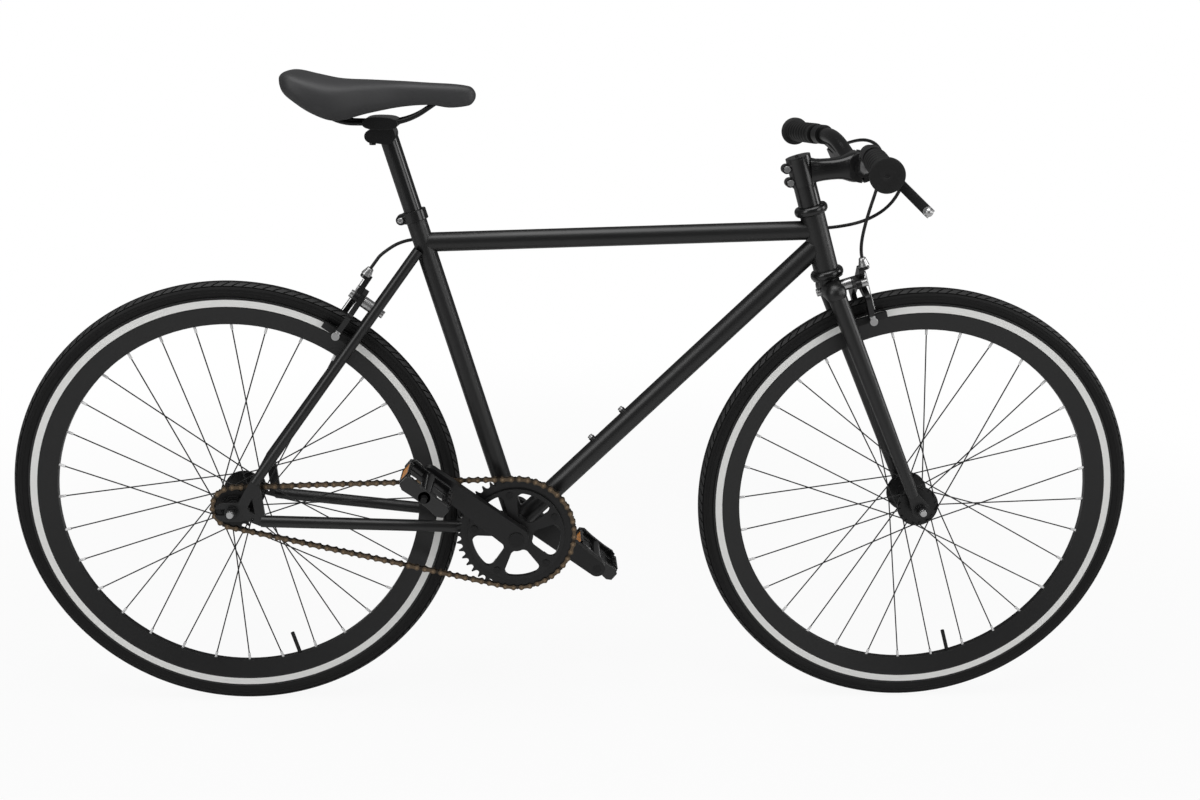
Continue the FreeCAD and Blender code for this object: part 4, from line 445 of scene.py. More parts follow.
def brake_finish(name, pivot, side, up, colours, edge):
    """Black arms with bright bolts, adjuster and wire, picked out by their place at the brake."""
    finish = Finish(name)
    across, rise, depth = [finish.along(pivot, axis) / MM for axis in (side, up, side.cross(up))]
    from_wire = (across + WIRE_SIDE).hypot(depth - WIRE_DEPTH)
    from_anchor = (across + WIRE_SIDE).hypot(rise - ANCHOR_RISE)
    adjuster = (from_wire < 5.4) * (rise > ADJUSTER_LOW - 0.1) * (depth > WIRE_DEPTH - 2.0)
    wire = (from_wire < 1.4) * (rise < ADJUSTER_LOW)
    anchor = (from_anchor < 6.3) * (depth > 24.3)
    pad_bolt = (abs(across) > 36.05) * (rise < -50.0)
    bright = adjuster | wire | anchor | pad_bolt
    shoe = (abs(across) < 22.1) * (rise < -52.7)
    drift = finish.noise(30.0)
    finish.surface(
        Base_Color=finish.plated(bright, drift, colours), Metallic=bright * 0.9,
        Roughness=drift * 0.08 + shoe * 0.3 + 0.26,
        Normal=finish.bump(finish.noise(800.0), 0.01 * MM, finish.edges(edge)))


def lever_finish(name, sign, colours, edge):
    """Black lever with a plated ball end; the right one has sign -1."""
    finish = Finish(name)
    tip = finish.away((LEVER_TIP.x, LEVER_TIP.y * -sign, LEVER_TIP.z)) < LEVER_BALL
    drift = finish.noise(30.0)
    finish.surface(
        Base_Color=finish.plated(tip, drift, colours), Metallic=tip * 0.9, Roughness=drift * 0.1 + 0.28,
        Normal=finish.edges(edge))


def stem_finish(colours, edge):
    """Gloss black alloy with plated bolt heads that face the right side."""
    finish = Finish("stem_bolted")
    ahead, left, up = finish.axes()
    first, second = [(ahead - bolt.x).hypot(up - bolt.z) < PINCH_HEAD for bolt in PINCH_BOLTS]
    bright = (first | second) * (-left > -PINCH_BOLTS[0].y - 0.5 * MM)
    drift = finish.noise(12.0)
    finish.surface(
        Base_Color=finish.plated(bright, drift, colours, (0.85, 1.15)), Metallic=bright * 0.9,
        Roughness=drift * 0.08 + 0.2, Coat_Weight=0.3, Coat_Roughness=0.12, Normal=finish.edges(edge))


def lens_finish(colours):
    """Moulded orange lens with a fine prism pattern."""
    finish = Finish("reflector_lens")
    cells = finish.value("ShaderNodeTexVoronoi", {"Vector": finish.place(), "Scale": 420.0}, "Distance")
    finish.surface(
        Base_Color=finish.tinted(cells, colours.reflector_orange, 1.1, 0.55), Roughness=cells * 0.1 + 0.2,
        Coat_Weight=0.25, Coat_Roughness=0.05, Normal=finish.bump(cells, 0.3 * MM))


def placed(name, data):
    piece = bpy.data.objects.new(name, data)
    bpy.context.scene.collection.objects.link(piece)
    return piece


def clean_mesh(name, points, faces, material, sharp=35.0):
    """New smooth-shaded object, with edges over the given angle left sharp."""
    mesh = bpy.data.meshes.new(name)
    mesh.from_pydata([tuple(point) for point in points], [], faces)
    shell = bmesh.new()
    shell.from_mesh(mesh)
    bmesh.ops.recalc_face_normals(shell, faces=shell.faces)
    shell.to_mesh(mesh)
    shell.free()
    mesh.materials.append(material)
    mesh.polygons.foreach_set("use_smooth", [True] * len(mesh.polygons))
    mesh.set_sharp_from_angle(angle=radians(sharp))
    mesh.validate()
    return placed(name, mesh)


def grid_faces(rows, columns, closed=True):
    """Quads between rings of points; the last ring joins the first, or else both ends are capped."""
    faces = []
    for row in range(rows if closed else rows - 1):
        below = (row + 1) % rows
        for column in range(columns):
            after = (column + 1) % columns
            faces.append((
                row * columns + column, row * columns + after,
                below * columns + after, below * columns + column))
    if not closed:
        faces += [tuple(reversed(range(columns))), tuple(range((rows - 1) * columns, rows * columns))]
    return faces


def arc(x, y, radius, start, turn, steps):
    """Points along part of a circle, with both of its ends."""
    angles = [start + turn * step / steps for step in range(steps + 1)]
    return [(x + radius * cos(angle), y + radius * sin(angle)) for angle in angles]


def circle(radius, steps):
    return arc(0, 0, radius, 0, tau, steps)[:-1]


def signed_power(base, power):
    return copysign(abs(base) ** power, base)


def turned(profile, origin, axis, steps):
    """Points and faces of a closed outline of (distance, radius) pairs turned round an axis."""
    across = axis.orthogonal().normalized()
    third = axis.cross(across)
    points = []
    for c, s in circle(1, steps):
        arm = across * c + third * s
        points += [origin + axis * distance + arm * radius for distance, radius in profile]
    return points, grid_faces(steps, len(profile))


def joined(parts):
    """One set of points and faces out of several."""
    points = []
    faces = []
    for part_points, part_faces in parts:
        first = len(points)
        points += part_points
        faces += [tuple(first + index for index in face) for face in part_faces]
    return points, faces


def mirrored(part):
    """The same piece on the other side of the bike, with its faces turned back outwards."""
    points, faces = part
    return [Vector((p.x, -p.y, p.z)) for p in points], [tuple(reversed(face)) for face in faces]


def settled(piece, body, slot, *nodes):
    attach(piece, body)
    if nodes:
        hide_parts(*nodes)
    return piece


def built(name, part, finish, sharp, body, slot, *nodes):
    """A new piece that rides on a body, in place of the given solids if there are any."""
    return settled(clean_mesh(name, *part, look(finish), sharp), body, slot, *nodes)


def rounded(piece, width, segments):
    rounding = piece.modifiers.new("rounding", "BEVEL")
    rounding.width = width
    rounding.segments = segments


# Coated finishes: colour, roughness, scale and depth in millimetres of the grain, and what else differs
COATS = {
    "frame_paint": ("frame_black", 0.38, 1600.0, 0.006, {"shine": 0.6}),
    "black_alloy": ("alloy_black", 0.34, 1200.0, 0.008, {}),
    "black_steel": ("alloy_black", 0.36, 1100.0, 0.01, {"metal": 0.2}),
    "brake_alloy": ("alloy_black", 0.32, 900.0, 0.008, {}),
    "pedal_plastic": ("alloy_black", 0.18, 300.0, 0.006, {"coat": 0.5}),
    "cable_casing": ("alloy_black", 0.34, 900.0, 0.006, {}),
    "saddle_shell": ("alloy_black", 0.5, 700.0, 0.02, {}),
    "stem_gloss": ("alloy_black", 0.24, 900.0, 0.005, {"coat": 0.3}),
}
# Solids with the stem's gloss rather than the finish of their slot
GLOSSY = (
    "stem_faceplate", "seatpost", "handlebar", "headset_cups", "headset_spacer", "headset_top_cap",
)


class BIKE_OT_finishes(bpy.types.Operator):
    """Make the finishes and give one to every part of the bike"""

    bl_idname = "bike.finishes"
    bl_label = "Finishes"

    def execute(self, context):
        colours = context.scene.bike_colours
        edge = context.scene.bike_sizes.edge_radius
        for name, (tone, roughness, grain, depth, more) in COATS.items():
            coated(name, getattr(colours, tone), roughness, grain, depth * MM, edge, **more)
        for make in (tyre_finish, tube_finish, grip_finish, saddle_finish, spoke_finish, lens_finish):
            make(colours)
        for make in (rim_finish, axle_finish, steel_finish, stem_finish):
            make(colours, edge)
        chain_finish(colours, edge * 0.5)
        brake_finish("front_brake", FRONT_BRAKE, LEFT, STEER_UP, colours, edge)
        brake_finish("rear_brake", REAR_BRAKE, -LEFT, REAR_BRAKE_UP, colours, edge)
        special = dict.fromkeys(GLOSSY, "stem_gloss")
        special["stem"] = "stem_bolted"
        for side, sign in (("right", -1), ("left", 1)):
            lever_finish("lever_" + side, sign, colours, edge)
            special["brake_lever_" + side] = "lever_" + side
        for end in ("front", "rear"):
            special[end + "_spokes"] = "black_steel_spokes"
            special[end + "_axle"] = "axle_steel"
            for side in ("right", "left"):
                special[end + "_brake_arm_" + side] = end + "_brake"
        slots = {row["node"]: row["material_slot"] for row in frame["record"]["subparts"]}
        for name, node in frame["nodes"].items():
            node.data.materials.clear()
            node.data.materials.append(look(special.get(name, slots[name])))
        return {"FINISHED"}


# Angles from the crown of the tyre down its side, in degrees, with how deep the tread cuts go there
TREAD_PROFILE = (
    (0, 0), (10, 0), (20, 0), (24, 0), (26, 1), (38, 1), (51, 1), (53, 0), (54, 0), (55, 1), (60, 1), (61, 0),
    (68, 0), (75, 0), (76, -0.25), (78, -0.25), (79, 0), (92, 0), (93, -0.25), (95, -0.25), (96, 0), (112, 0),
    (120, 0), (128, 0),
)
# Place within one block's pitch, and the share of the cut that shows there
TREAD_PITCH = ((0.00, 0), (0.03, 1), (0.20, 1), (0.23, 0), (0.48, 0), (0.74, 0))
TYRE_LINING = 11.3 * MM
LINING_ANGLES = (126, 90, 45, 0, -45, -90, -126)
# The slots lean by this share of the pitch, to one side above the shoulder's middle and back below it
TREAD_SLANT = 0.32
SHOULDER_MIDDLE = 38.0
SHOULDER_HALF = 13.0
GROOVE_START = 54


def tyre_columns(axle, sizes):
    """Rings across the tyre, tread outside and lining inside, and the faces between them."""
    blocks = sizes.tread_blocks
    pitch = tau / blocks
    skin = [(-angle, cut) for angle, cut in reversed(TREAD_PROFILE[1:])] + list(TREAD_PROFILE)
    lining = [(angle, None) for angle in LINING_ANGLES]
    points = []
    for block in range(blocks):
        for share, shown in TREAD_PITCH:
            for angle, cut in skin + lining:
                lean = max(-1.0, min(1.0, (abs(angle) - SHOULDER_MIDDLE) / SHOULDER_HALF))
                turn = pitch * (block + share) + TREAD_SLANT * pitch * lean
                tilt = radians(angle)
                reach = TYRE_LINING
                if cut is not None:
                    depth = cut if abs(angle) > GROOVE_START else cut * shown
                    reach = TYRE_RADIUS - depth * sizes.tread_depth
                radius = TYRE_CENTRE + reach * cos(tilt)
                points.append(axle + Vector((
                    radius * cos(turn), reach * sin(tilt), radius * sin(turn))))
    rows = blocks * len(TREAD_PITCH)
    return points, grid_faces(rows, len(skin) + len(lining))


class BIKE_OT_tyres(bpy.types.Operator):
    """Build both tyres with their cut shoulder blocks"""

    bl_idname = "bike.tyres"
    bl_label = "Tyres"

    def execute(self, context):
        for name, axle in (("front", FRONT_AXLE), ("rear", REAR_AXLE)):
            part = tyre_columns(axle, context.scene.bike_sizes)
            built(
                name + "_tyre_treaded", part, "tyre_rubber", 28.0,
                name + "_wheel", "tyre_rubber", name + "_tyre")
        return {"FINISHED"}


def smooth_between(rows, place):
    """Catmull-Rom value of a table whose first column is the place."""
    last = len(rows) - 2
    index = 0
    while index < last and rows[index + 1][0] < place:
        index += 1
    start, end = rows[index], rows[index + 1]
    before = rows[max(index - 1, 0)]
    after = rows[min(index + 2, len(rows) - 1)]
    span = end[0] - start[0]
    t = (place - start[0]) / span
    values = []
    for column in range(1, len(start)):
        into = (end[column] - before[column]) / (end[0] - before[0]) * span
        out = (after[column] - start[column]) / (after[0] - start[0]) * span
        values.append(
            (2 * t ** 3 - 3 * t ** 2 + 1) * start[column] + (t ** 3 - 2 * t ** 2 + t) * into
            + (3 * t ** 2 - 2 * t ** 3) * end[column] + (t ** 3 - t ** 2) * out)
    return values


SADDLE_LENGTH = 277.0 * MM
SADDLE_HALF = 74.0 * MM
SADDLE_RISE = 72.0 * MM
SADDLE_STEPS = 60
SADDLE_INNER_STEPS = 40
SADDLE_END = 0.12
SIDE_STEPS = (0.125, 0.375, 0.625, 0.875)
NOSE_ROUND = 10.0 * MM
TAIL_ROUND = 15.0 * MM
UNDER_LIFT = 1.7 * MM
# Shares of a section: foot of its half width, then edge, arch and middle of its height
FOOT = 0.82
EDGE = 0.40
ARCH = 0.42
MIDDLE = 0.55
SMALLEST_END = 0.03


def saddle_ring(place):
    """Crowned top, bulging sides and an arched underside at one place along the saddle."""
    half, top, low = smooth_between(SADDLE_SHARES, place)
    half *= SADDLE_HALF
    top = SADDLE_RAIL + SADDLE_RISE * top
    low = SADDLE_RAIL + SADDLE_RISE * low
    height = top - low
    foot = half * FOOT
    ring = []
    for c, s in arc(0, 0, 1, 0, pi, 14)[:-1]:
        rise = low + height * (EDGE + (1 - EDGE) * s ** 0.55)
        ring.append((signed_power(c, 0.62) * half, rise))
    side = [(half - (half - foot) * t ** 2, low + height * EDGE * (1 - t)) for t in SIDE_STEPS]
    ring += [(-wide, rise) for wide, rise in side]
    for step in range(9):
        t = step / 4 - 1
        arch = height * ARCH * (1 - t ** 2) + UNDER_LIFT * (1 - t ** 4)
        ring.append((foot * t, low + arch))
    ring += reversed(side)
    along = SADDLE_LENGTH * place
    size = 1.0
    for gap, span in ((along, NOSE_ROUND), (SADDLE_LENGTH - along, TAIL_ROUND)):
        size *= sqrt(max(0.0, 1 - (1 - min(1.0, gap / span)) ** 2))
    size = max(SMALLEST_END, size)
    middle = low + height * MIDDLE
    x = SADDLE_NOSE - along
    return [Vector((x, wide * size, middle + (rise - middle) * size)) for wide, rise in ring]


class BIKE_OT_saddle(bpy.types.Operator):
    """Build the padded saddle top"""

    bl_idname = "bike.saddle"
    bl_label = "Saddle"

    def execute(self, context):
        shares = [step / SADDLE_STEPS for step in range(SADDLE_STEPS + 1)]
        ends = [0.5 - 0.5 * cos(pi * t) for t in shares if t < SADDLE_END or t > 1 - SADDLE_END]
        low = max(place for place in ends if place < 0.5)
        high = min(place for place in ends if place > 0.5)
        steps = range(1, SADDLE_INNER_STEPS)
        inner = [low + (high - low) * step / SADDLE_INNER_STEPS for step in steps]
        rings = [saddle_ring(place) for place in sorted(ends + inner)]
        points = [point for ring in rings for point in ring]
        faces = grid_faces(len(rings), len(rings[0]), closed=False)
        padding = clean_mesh("saddle_padding_covered", points, faces, look("saddle_cover"), 60.0)
        rounding = padding.modifiers.new("rounding", "SUBSURF")
        rounding.levels = 1
        rounding.render_levels = 1
        settled(padding, "seat", "saddle_cover", "saddle_padding")
        return {"FINISHED"}


# Grip outline as (distance, radius) pairs in millimetres, before and after the ribs
GRIP_LENGTH = 118.0
GRIP_BORE = 11.15
GRIP_RIM = ((0, GRIP_BORE), (0, 15.2), (0.8, 16.2), (6.6, 16.2), (7.4, 15.6))
GRIP_CAP = (
    (111.4, 15.6), (112.2, 18.5), (112.8, 21.2), (113.8, 22.4), (115, 22.5), (120.6, 22.5), (121.6, 22.1),
    (122, 21.2), (121.9, 12), (121.5, 4), (121.1, 3.3), (120.4, 3), (119.6, 0.05), (118.3, 0.05),
    (118.3, GRIP_BORE),
)
RIBS_START = 8.5 * MM
RIBS_SPAN = 101.0 * MM
RIB_RADIUS = 16.4 * MM
RIB_STEPS = 10


def scaled(outline):
    return [(distance * MM, radius * MM) for distance, radius in outline]


def grip_outline(sizes):
    """Outline of one grip, from its inner end out to the closed cap and back along the bar."""
    ribs = []
    steps = sizes.grip_ribs * RIB_STEPS
    for step in range(steps + 1):
        wave = 0.5 + 0.5 * cos(tau * step / RIB_STEPS)
        ribs.append((RIBS_START + RIBS_SPAN * step / steps, RIB_RADIUS - sizes.rib_height * (1 - wave) ** 2))
    return scaled(GRIP_RIM) + ribs + scaled(GRIP_CAP)


class BIKE_OT_grips(bpy.types.Operator):
    """Build both ribbed grips"""

    bl_idname = "bike.grips"
    bl_label = "Grips"

    def execute(self, context):
        start = GRIP_END - GRIP_AXIS * GRIP_LENGTH * MM
        right = turned(grip_outline(context.scene.bike_sizes), start, GRIP_AXIS, 56)
        pair = joined([right, mirrored(right)])
        built("grips_ribbed", pair, "grip_rubber", 40.0, "steering", "grip_rubber", "grips")
        return {"FINISHED"}


def cable_mesh(name, route, radius):
    """Round casing along a smooth curve through the route."""
    curve = bpy.data.curves.new(name, "CURVE")
    curve.dimensions = "3D"
    curve.bevel_depth = radius
    curve.bevel_resolution = 4
    curve.resolution_u = 14
    curve.use_fill_caps = True
    spline = curve.splines.new("NURBS")
    spline.points.add(len(route) - 1)
    for point, (x, y, z) in zip(spline.points, route):
        point.co = (x * MM, y * MM, z * MM, 1.0)
    spline.order_u = 3
    spline.use_endpoint_u = True
    rod = placed(name, curve)
    mesh = bpy.data.meshes.new_from_object(rod.evaluated_get(bpy.context.evaluated_depsgraph_get()))
    bpy.data.objects.remove(rod)
    mesh.materials.clear()
    mesh.materials.append(look("cable_casing"))
    return placed(name, mesh)


class BIKE_OT_cables(bpy.types.Operator):
    """Build the three brake cables"""

    bl_idname = "bike.cables"
    bl_label = "Cables"

    def execute(self, context):
        radius = context.scene.bike_sizes.cable_radius
        front = ("front_cable_casing", FRONT_CABLE, "steering", "front_brake_cable")
        rear = ("rear_cable_casing", REAR_CABLE, "frame", "rear_brake_cable")
        for name, route, body, node in (front, rear):
            settled(cable_mesh(name, route, radius), body, "cable_casing", node)
        loop = cable_mesh("cable_loop_casing", CABLE_LOOP, radius)
        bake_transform(loop)
        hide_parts("rear_brake_cable_loop")
        return {"FINISHED"}


CHAIN_PITCH = 12.7 * MM
CHAIN_LINKS = 98
RING_TEETH = 44
COG_TEETH = 16
# Plate, roller and pin outlines in millimetres
PLATE_WAIST = 2.3
PLATE_END = 4.2
PLATE_HALF = 6.35
ROLLER_RADIUS = 3.8
PIN_RADIUS = 1.9
# Distances from the chain line
INNER_PLATE = 1.7 * MM
OUTER_PLATE = 2.8 * MM
PLATE_THICK = 1.0 * MM
ROLLER_HALF = 1.65 * MM
PIN_HALF = 4.2 * MM


def turned_arm(arm, turns):
    return Matrix.Rotation(turns * tau, 3, "Y") @ arm


def chain_points():
    """Centres of the rollers, from the top of the rear cog forwards round the ring and back."""
    ring = CHAIN_PITCH / 2 / sin(pi / RING_TEETH)
    cog = CHAIN_PITCH / 2 / sin(pi / COG_TEETH)
    span = BRACKET - REAR_AXLE
    axis = span.normalized()
    normal = Vector((-axis.z, 0, axis.x))
    lean = asin((ring - cog) / span.length)
    run = span.length * cos(lean) / CHAIN_PITCH
    wrap = RING_TEETH * (0.5 + lean / pi)
    top = normal * cos(lean) - axis * sin(lean)
    bottom = -normal * cos(lean) - axis * sin(lean)
    points = []
    for link in range(CHAIN_LINKS):
        if link < run:
            point = (REAR_AXLE + top * cog).lerp(BRACKET + top * ring, link / run)
        elif link < run + wrap:
            point = BRACKET + turned_arm(top, (link - run) / RING_TEETH) * ring
        elif link < 2 * run + wrap:
            point = (BRACKET + bottom * ring).lerp(REAR_AXLE + bottom * cog, (link - run - wrap) / run)
        else:
            point = REAR_AXLE + turned_arm(bottom, (link - 2 * run - wrap) / COG_TEETH) * cog
        points.append(point - LEFT * CHAIN_LINE)
    return points


def plate_outline():
    """Waisted outline of one chain plate about its middle, in millimetres."""
    upper = arc(-PLATE_HALF, 0, PLATE_END, pi, -pi / 2, 5)
    for across in (-4.4, -2.2, 0.0, 2.2, 4.4):
        upper.append((across, PLATE_WAIST + (PLATE_END - PLATE_WAIST) * (across / PLATE_HALF) ** 2))
    upper += arc(PLATE_HALF, 0, PLATE_END, pi / 2, -pi / 2, 5)
    return upper + [(x, -y) for x, y in reversed(upper[1:-1])]


def prism(outline, origin, x_axis, y_axis, depth_axis, low, high):
    """Points and faces of a flat outline in millimetres pushed from one depth to another."""
    flat = [origin + x_axis * (x * MM) + y_axis * (y * MM) for x, y in outline]
    points = [p + depth_axis * depth for depth in (low, high) for p in flat]
    return points, grid_faces(2, len(flat), closed=False)


class BIKE_OT_chain(bpy.types.Operator):
    """Build the chain from waisted plates, rollers and riveted pins"""

    bl_idname = "bike.chain"
    bl_label = "Chain"

    def execute(self, context):
        points = chain_points()
        plate = plate_outline()
        roller = circle(ROLLER_RADIUS, 14)
        pin = circle(PIN_RADIUS, 10)
        parts = []
        for index, point in enumerate(points):
            after = points[(index + 1) % len(points)]
            along = (after - point).normalized()
            rise = along.cross(LEFT)
            middle = (point + after) * 0.5
            near = INNER_PLATE if index % 2 else OUTER_PLATE
            far = near + PLATE_THICK
            parts.append(prism(plate, middle, along, rise, -LEFT, near, far))
            parts.append(prism(plate, middle, along, rise, -LEFT, -far, -near))
            parts.append(prism(roller, point, AHEAD, UP, -LEFT, -ROLLER_HALF, ROLLER_HALF))
            parts.append(prism(pin, point, AHEAD, UP, -LEFT, -PIN_HALF, PIN_HALF))
        built("chain_links", joined(parts), "chain_steel", 30.0, "frame", "chain_steel", "chain")
        return {"FINISHED"}


PEDAL_TILT = radians(40.0)
PEDAL_STAND = 24.3 * MM
PEDAL_SPAN = 84.0
PEDAL_MIDDLE = 42.0
PEDAL_END = 35.5
PLATE_WIDTH = 6.0
PLATE_MARGIN = 0.4
TOOTH_START = 7.0
TOOTH_PITCH = 8.75
FRAME_STAND = 2.4
RIB_PLACES = (24.0, 60.0)
END_PLATE = (
    (-39.6, -7), (-39.6, 7), (-32, 11.8), (-14, 10.2), (14, 10.2), (32, 11.8), (39.6, 7), (39.6, -7),
    (32, -11.8), (14, -10.2), (-14, -10.2), (-32, -11.8),
)
BARREL = (
    (0, 4.75), (0, 10.4), (3, 11), (8, 10.6), (26, 9.4), (58, 8.8), (76, 9.2), (81, 9.8),
    (83.6, 9), (83.6, 4.75),
)


def slab(place, half):
    """Box about a place, both in millimetres along the pedal's own axes."""
    a, h, w = place
    da, dh, dw = half
    corners = [(a + i * da, h + j * dh, w + k * dw) for k in (-1, 1) for j in (-1, 1) for i in (-1, 1)]
    faces = [(0, 2, 3, 1), (4, 5, 7, 6), (0, 1, 5, 4), (2, 6, 7, 3), (0, 4, 6, 2), (1, 3, 7, 5)]
    return corners, faces


def pedal_parts():
    """Cage, barrel and ribs of a pedal along its own axes, in millimetres, and its two lenses."""
    cage = []
    for low in (PLATE_MARGIN, PEDAL_SPAN - PLATE_WIDTH - PLATE_MARGIN):
        points, faces = prism(END_PLATE, Vector(), AHEAD, LEFT, UP, low * MM, (low + PLATE_WIDTH) * MM)
        cage.append(([p / MM for p in points], faces))
    lenses = []
    for end in (-1, 1):
        face = end * (PEDAL_END + FRAME_STAND)
        cage.append(slab((end * PEDAL_END, 0, PEDAL_MIDDLE), (1.8, 6.6, 41)))
        for tooth in range(9):
            place = TOOTH_START + tooth * TOOTH_PITCH
            cage.append(slab((end * PEDAL_END, 0, place), (1.8, 9.4 if tooth % 2 else 10.8, 2.2)))
        for side in (-1, 1):
            cage.append(slab((face, side * 9.3, PEDAL_MIDDLE), (1.8, 1.5, 26)))
        for side in (-1, 1):
            cage.append(slab((face, 0, PEDAL_MIDDLE + side * 24.4), (1.8, 10.8, 1.6)))
        lenses.append(slab((end * (PEDAL_END + 2.1), 0, PEDAL_MIDDLE), (1.2, 7.7, 22.7)))
    for place in RIB_PLACES:
        cage.append(slab((0, 0, place), (PEDAL_END, 3.2, 2.6)))
    return cage, lenses


class BIKE_OT_pedals(bpy.types.Operator):
    """Build both pedals with toothed cages and reflector lenses"""

    bl_idname = "bike.pedals"
    bl_label = "Pedals"

    def execute(self, context):
        cage, lenses = pedal_parts()
        along = Vector((cos(PEDAL_TILT), 0, -sin(PEDAL_TILT)))
        for name, eye, sign in (("pedal_right", PEDAL_RIGHT, -1), ("pedal_left", PEDAL_LEFT, 1)):
            inner = eye + LEFT * (sign * PEDAL_STAND)
            rise = Vector((sin(PEDAL_TILT), 0, cos(PEDAL_TILT))) * -sign
            outward = LEFT * sign

            def set_in(parts):
                points, faces = joined(parts)
                return [inner + (along * p[0] + rise * p[1] + outward * p[2]) * MM for p in points], faces

            body = clean_mesh(name + "_cage", *set_in(cage), look("pedal_plastic"), 40.0)
            rounded(body, 0.7 * MM, 2)
            settled(body, name, "pedal_plastic", name)
            barrel = turned(scaled(BARREL), inner, outward, 32)
            built(name + "_barrel", barrel, "pedal_plastic", 30.0, name, "pedal_plastic")
            lens = clean_mesh(name + "_lenses", *set_in(lenses), look("reflector_lens"), 30.0)
            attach(lens, name)
        return {"FINISHED"}


# Stem arm sections: distance from the steerer, half width and half height, in millimetres
STEM_SECTIONS = (
    (12, 17, 19.4), (16, 16.8, 18.6), (22, 15.8, 16.8), (30, 15.2, 15.9), (42, 15, 15.5),
    (52, 15.4, 15.7), (59, 17, 16.6), (64, 19.2, 18.4), (69, 21.2, 20.4), (74, 22.2, 21.8),
    (79, 22.6, 22.4), (82.5, 22.2, 22), (84, 21, 20.6),
)
CUP_RING = (
    (-0.8, 18.6), (-0.8, 20.6), (0.4, 22.8), (2.6, 24.4), (6, 25), (9.4, 24.4), (11.6, 22.8),
    (12.4, 20.8), (12.4, 18.6),
)
COLLAR = ((0, 15.1), (0, 17.6), (0.8, 18.5), (15.2, 18.5), (16, 17.6), (16, 15.1))
BOLT_HEAD = ((0, 0.05), (0, 4.5), (2.6, 4.5), (3.4, 3.7), (3.4, 2.2), (1.4, 2), (1.4, 0.05))
CRADLE_BOLT = ((-5, 0.05), (-5, 4.6), (-0.4, 5), (0, 5), (0, 3), (30, 3), (30, 0.05))
ADJUSTER_CONE = (
    (-0.8, 2.55), (-0.8, 4.4), (0.2, 5.3), (3.0, 5.8), (9.6, 7.7), (11.6, 8.2), (12.2, 7.8), (12.2, 5.05),
    (0.05, 5.05), (0.05, 2.55),
)
# Ear of the seat clamp: its straight edge, the centre of its round end and that end's radius
EAR_EDGE = ((-15.6, 0.8), (-15.6, 15.4))
EAR_CENTRE = (-20.7, 8.0)
EAR_RADIUS = 7.4
COLLAR_HEIGHT = 16.0 * MM
CRADLE_HALF = 27.8 * MM
BOX_STEPS = 40
ADJUSTER_COLLAR = ((12.3, 5.05), (12.3, 6.8), (12.9, 7.3), (16.4, 7.3), (17.6, 6.4), (17.6, 5.05))


def rounded_box(half_wide, half_high, power):
    """Outline between an ellipse and a rectangle, in millimetres."""
    outline = []
    for c, s in circle(1, BOX_STEPS):
        outline.append((signed_power(c, 2 / power) * half_wide, signed_power(s, 2 / power) * half_high))
    return outline


class BIKE_OT_stem(bpy.types.Operator):
    """Build the forged stem arm and the rounded headset rings"""

    bl_idname = "bike.stem"
    bl_label = "Stem and headset"

    def execute(self, context):
        rise = STEM_AXIS.cross(LEFT)
        points = []
        for distance, wide, high in STEM_SECTIONS:
            centre = STEM_ROOT + STEM_AXIS * (distance * MM)
            outline = rounded_box(wide, high, 3.2)
            points += [centre + LEFT * (x * MM) + rise * (y * MM) for x, y in outline]
        faces = grid_faces(len(STEM_SECTIONS), BOX_STEPS, closed=False)
        built("stem_forging", (points, faces), "stem_gloss", 50.0, "steering", "black_alloy")
        cup = scaled(CUP_RING)
        rings = joined([turned(cup, HEAD_HIGH, STEER_UP, 56), turned(cup, HEAD_LOW, -STEER_UP, 56)])
        built("headset_rings", rings, "stem_gloss", 40.0, "frame", "black_alloy")
        return {"FINISHED"}


class BIKE_OT_seat_fittings(bpy.types.Operator):
    """Build the seat clamp with its bolt, and the cradle that holds the saddle rails"""

    bl_idname = "bike.seat_fittings"
    bl_label = "Seat fittings"

    def execute(self, context):
        low = SEAT_TUBE_TOP - SEAT_UP * COLLAR_HEIGHT
        ear = list(EAR_EDGE) + arc(*EAR_CENTRE, EAR_RADIUS, pi / 2, pi, 12)
        parts = [turned(scaled(COLLAR), low, SEAT_UP, 48)]
        for start, end in ((-8.0, -1.5), (1.5, 8.0)):
            parts.append(prism(ear, low, SEAT_AHEAD, SEAT_UP, LEFT, start * MM, end * MM))
        built("seat_clamp_rounded", joined(parts), "stem_gloss", 40.0, "frame", "black_alloy", "seat_clamp")
        bolt = turned(scaled(BOLT_HEAD), SEAT_BOLT, -LEFT, 24)
        built("seat_clamp_bolt_head", bolt, "bright_steel", 30.0, "frame", "bright_steel")
        middle = Vector((POST_TOP.x - 8.0 * MM, 0, SADDLE_RAIL))
        outline = rounded_box(25.0, 8.8, 2.7)
        shell = prism(outline, middle, AHEAD, UP, LEFT, -CRADLE_HALF, CRADLE_HALF)
        bolt_seat = POST_TOP - Vector((22.0 * MM, 0, 11.0 * MM))
        parts = [shell, turned(scaled(CRADLE_BOLT), bolt_seat, UP, 20)]
        cradle = clean_mesh("saddle_cradle_rounded", *joined(parts), look("stem_gloss"), 40.0)
        rounded(cradle, 1.6 * MM, 3)
        settled(cradle, "seat", "black_alloy", "saddle_clamp")
        return {"FINISHED"}


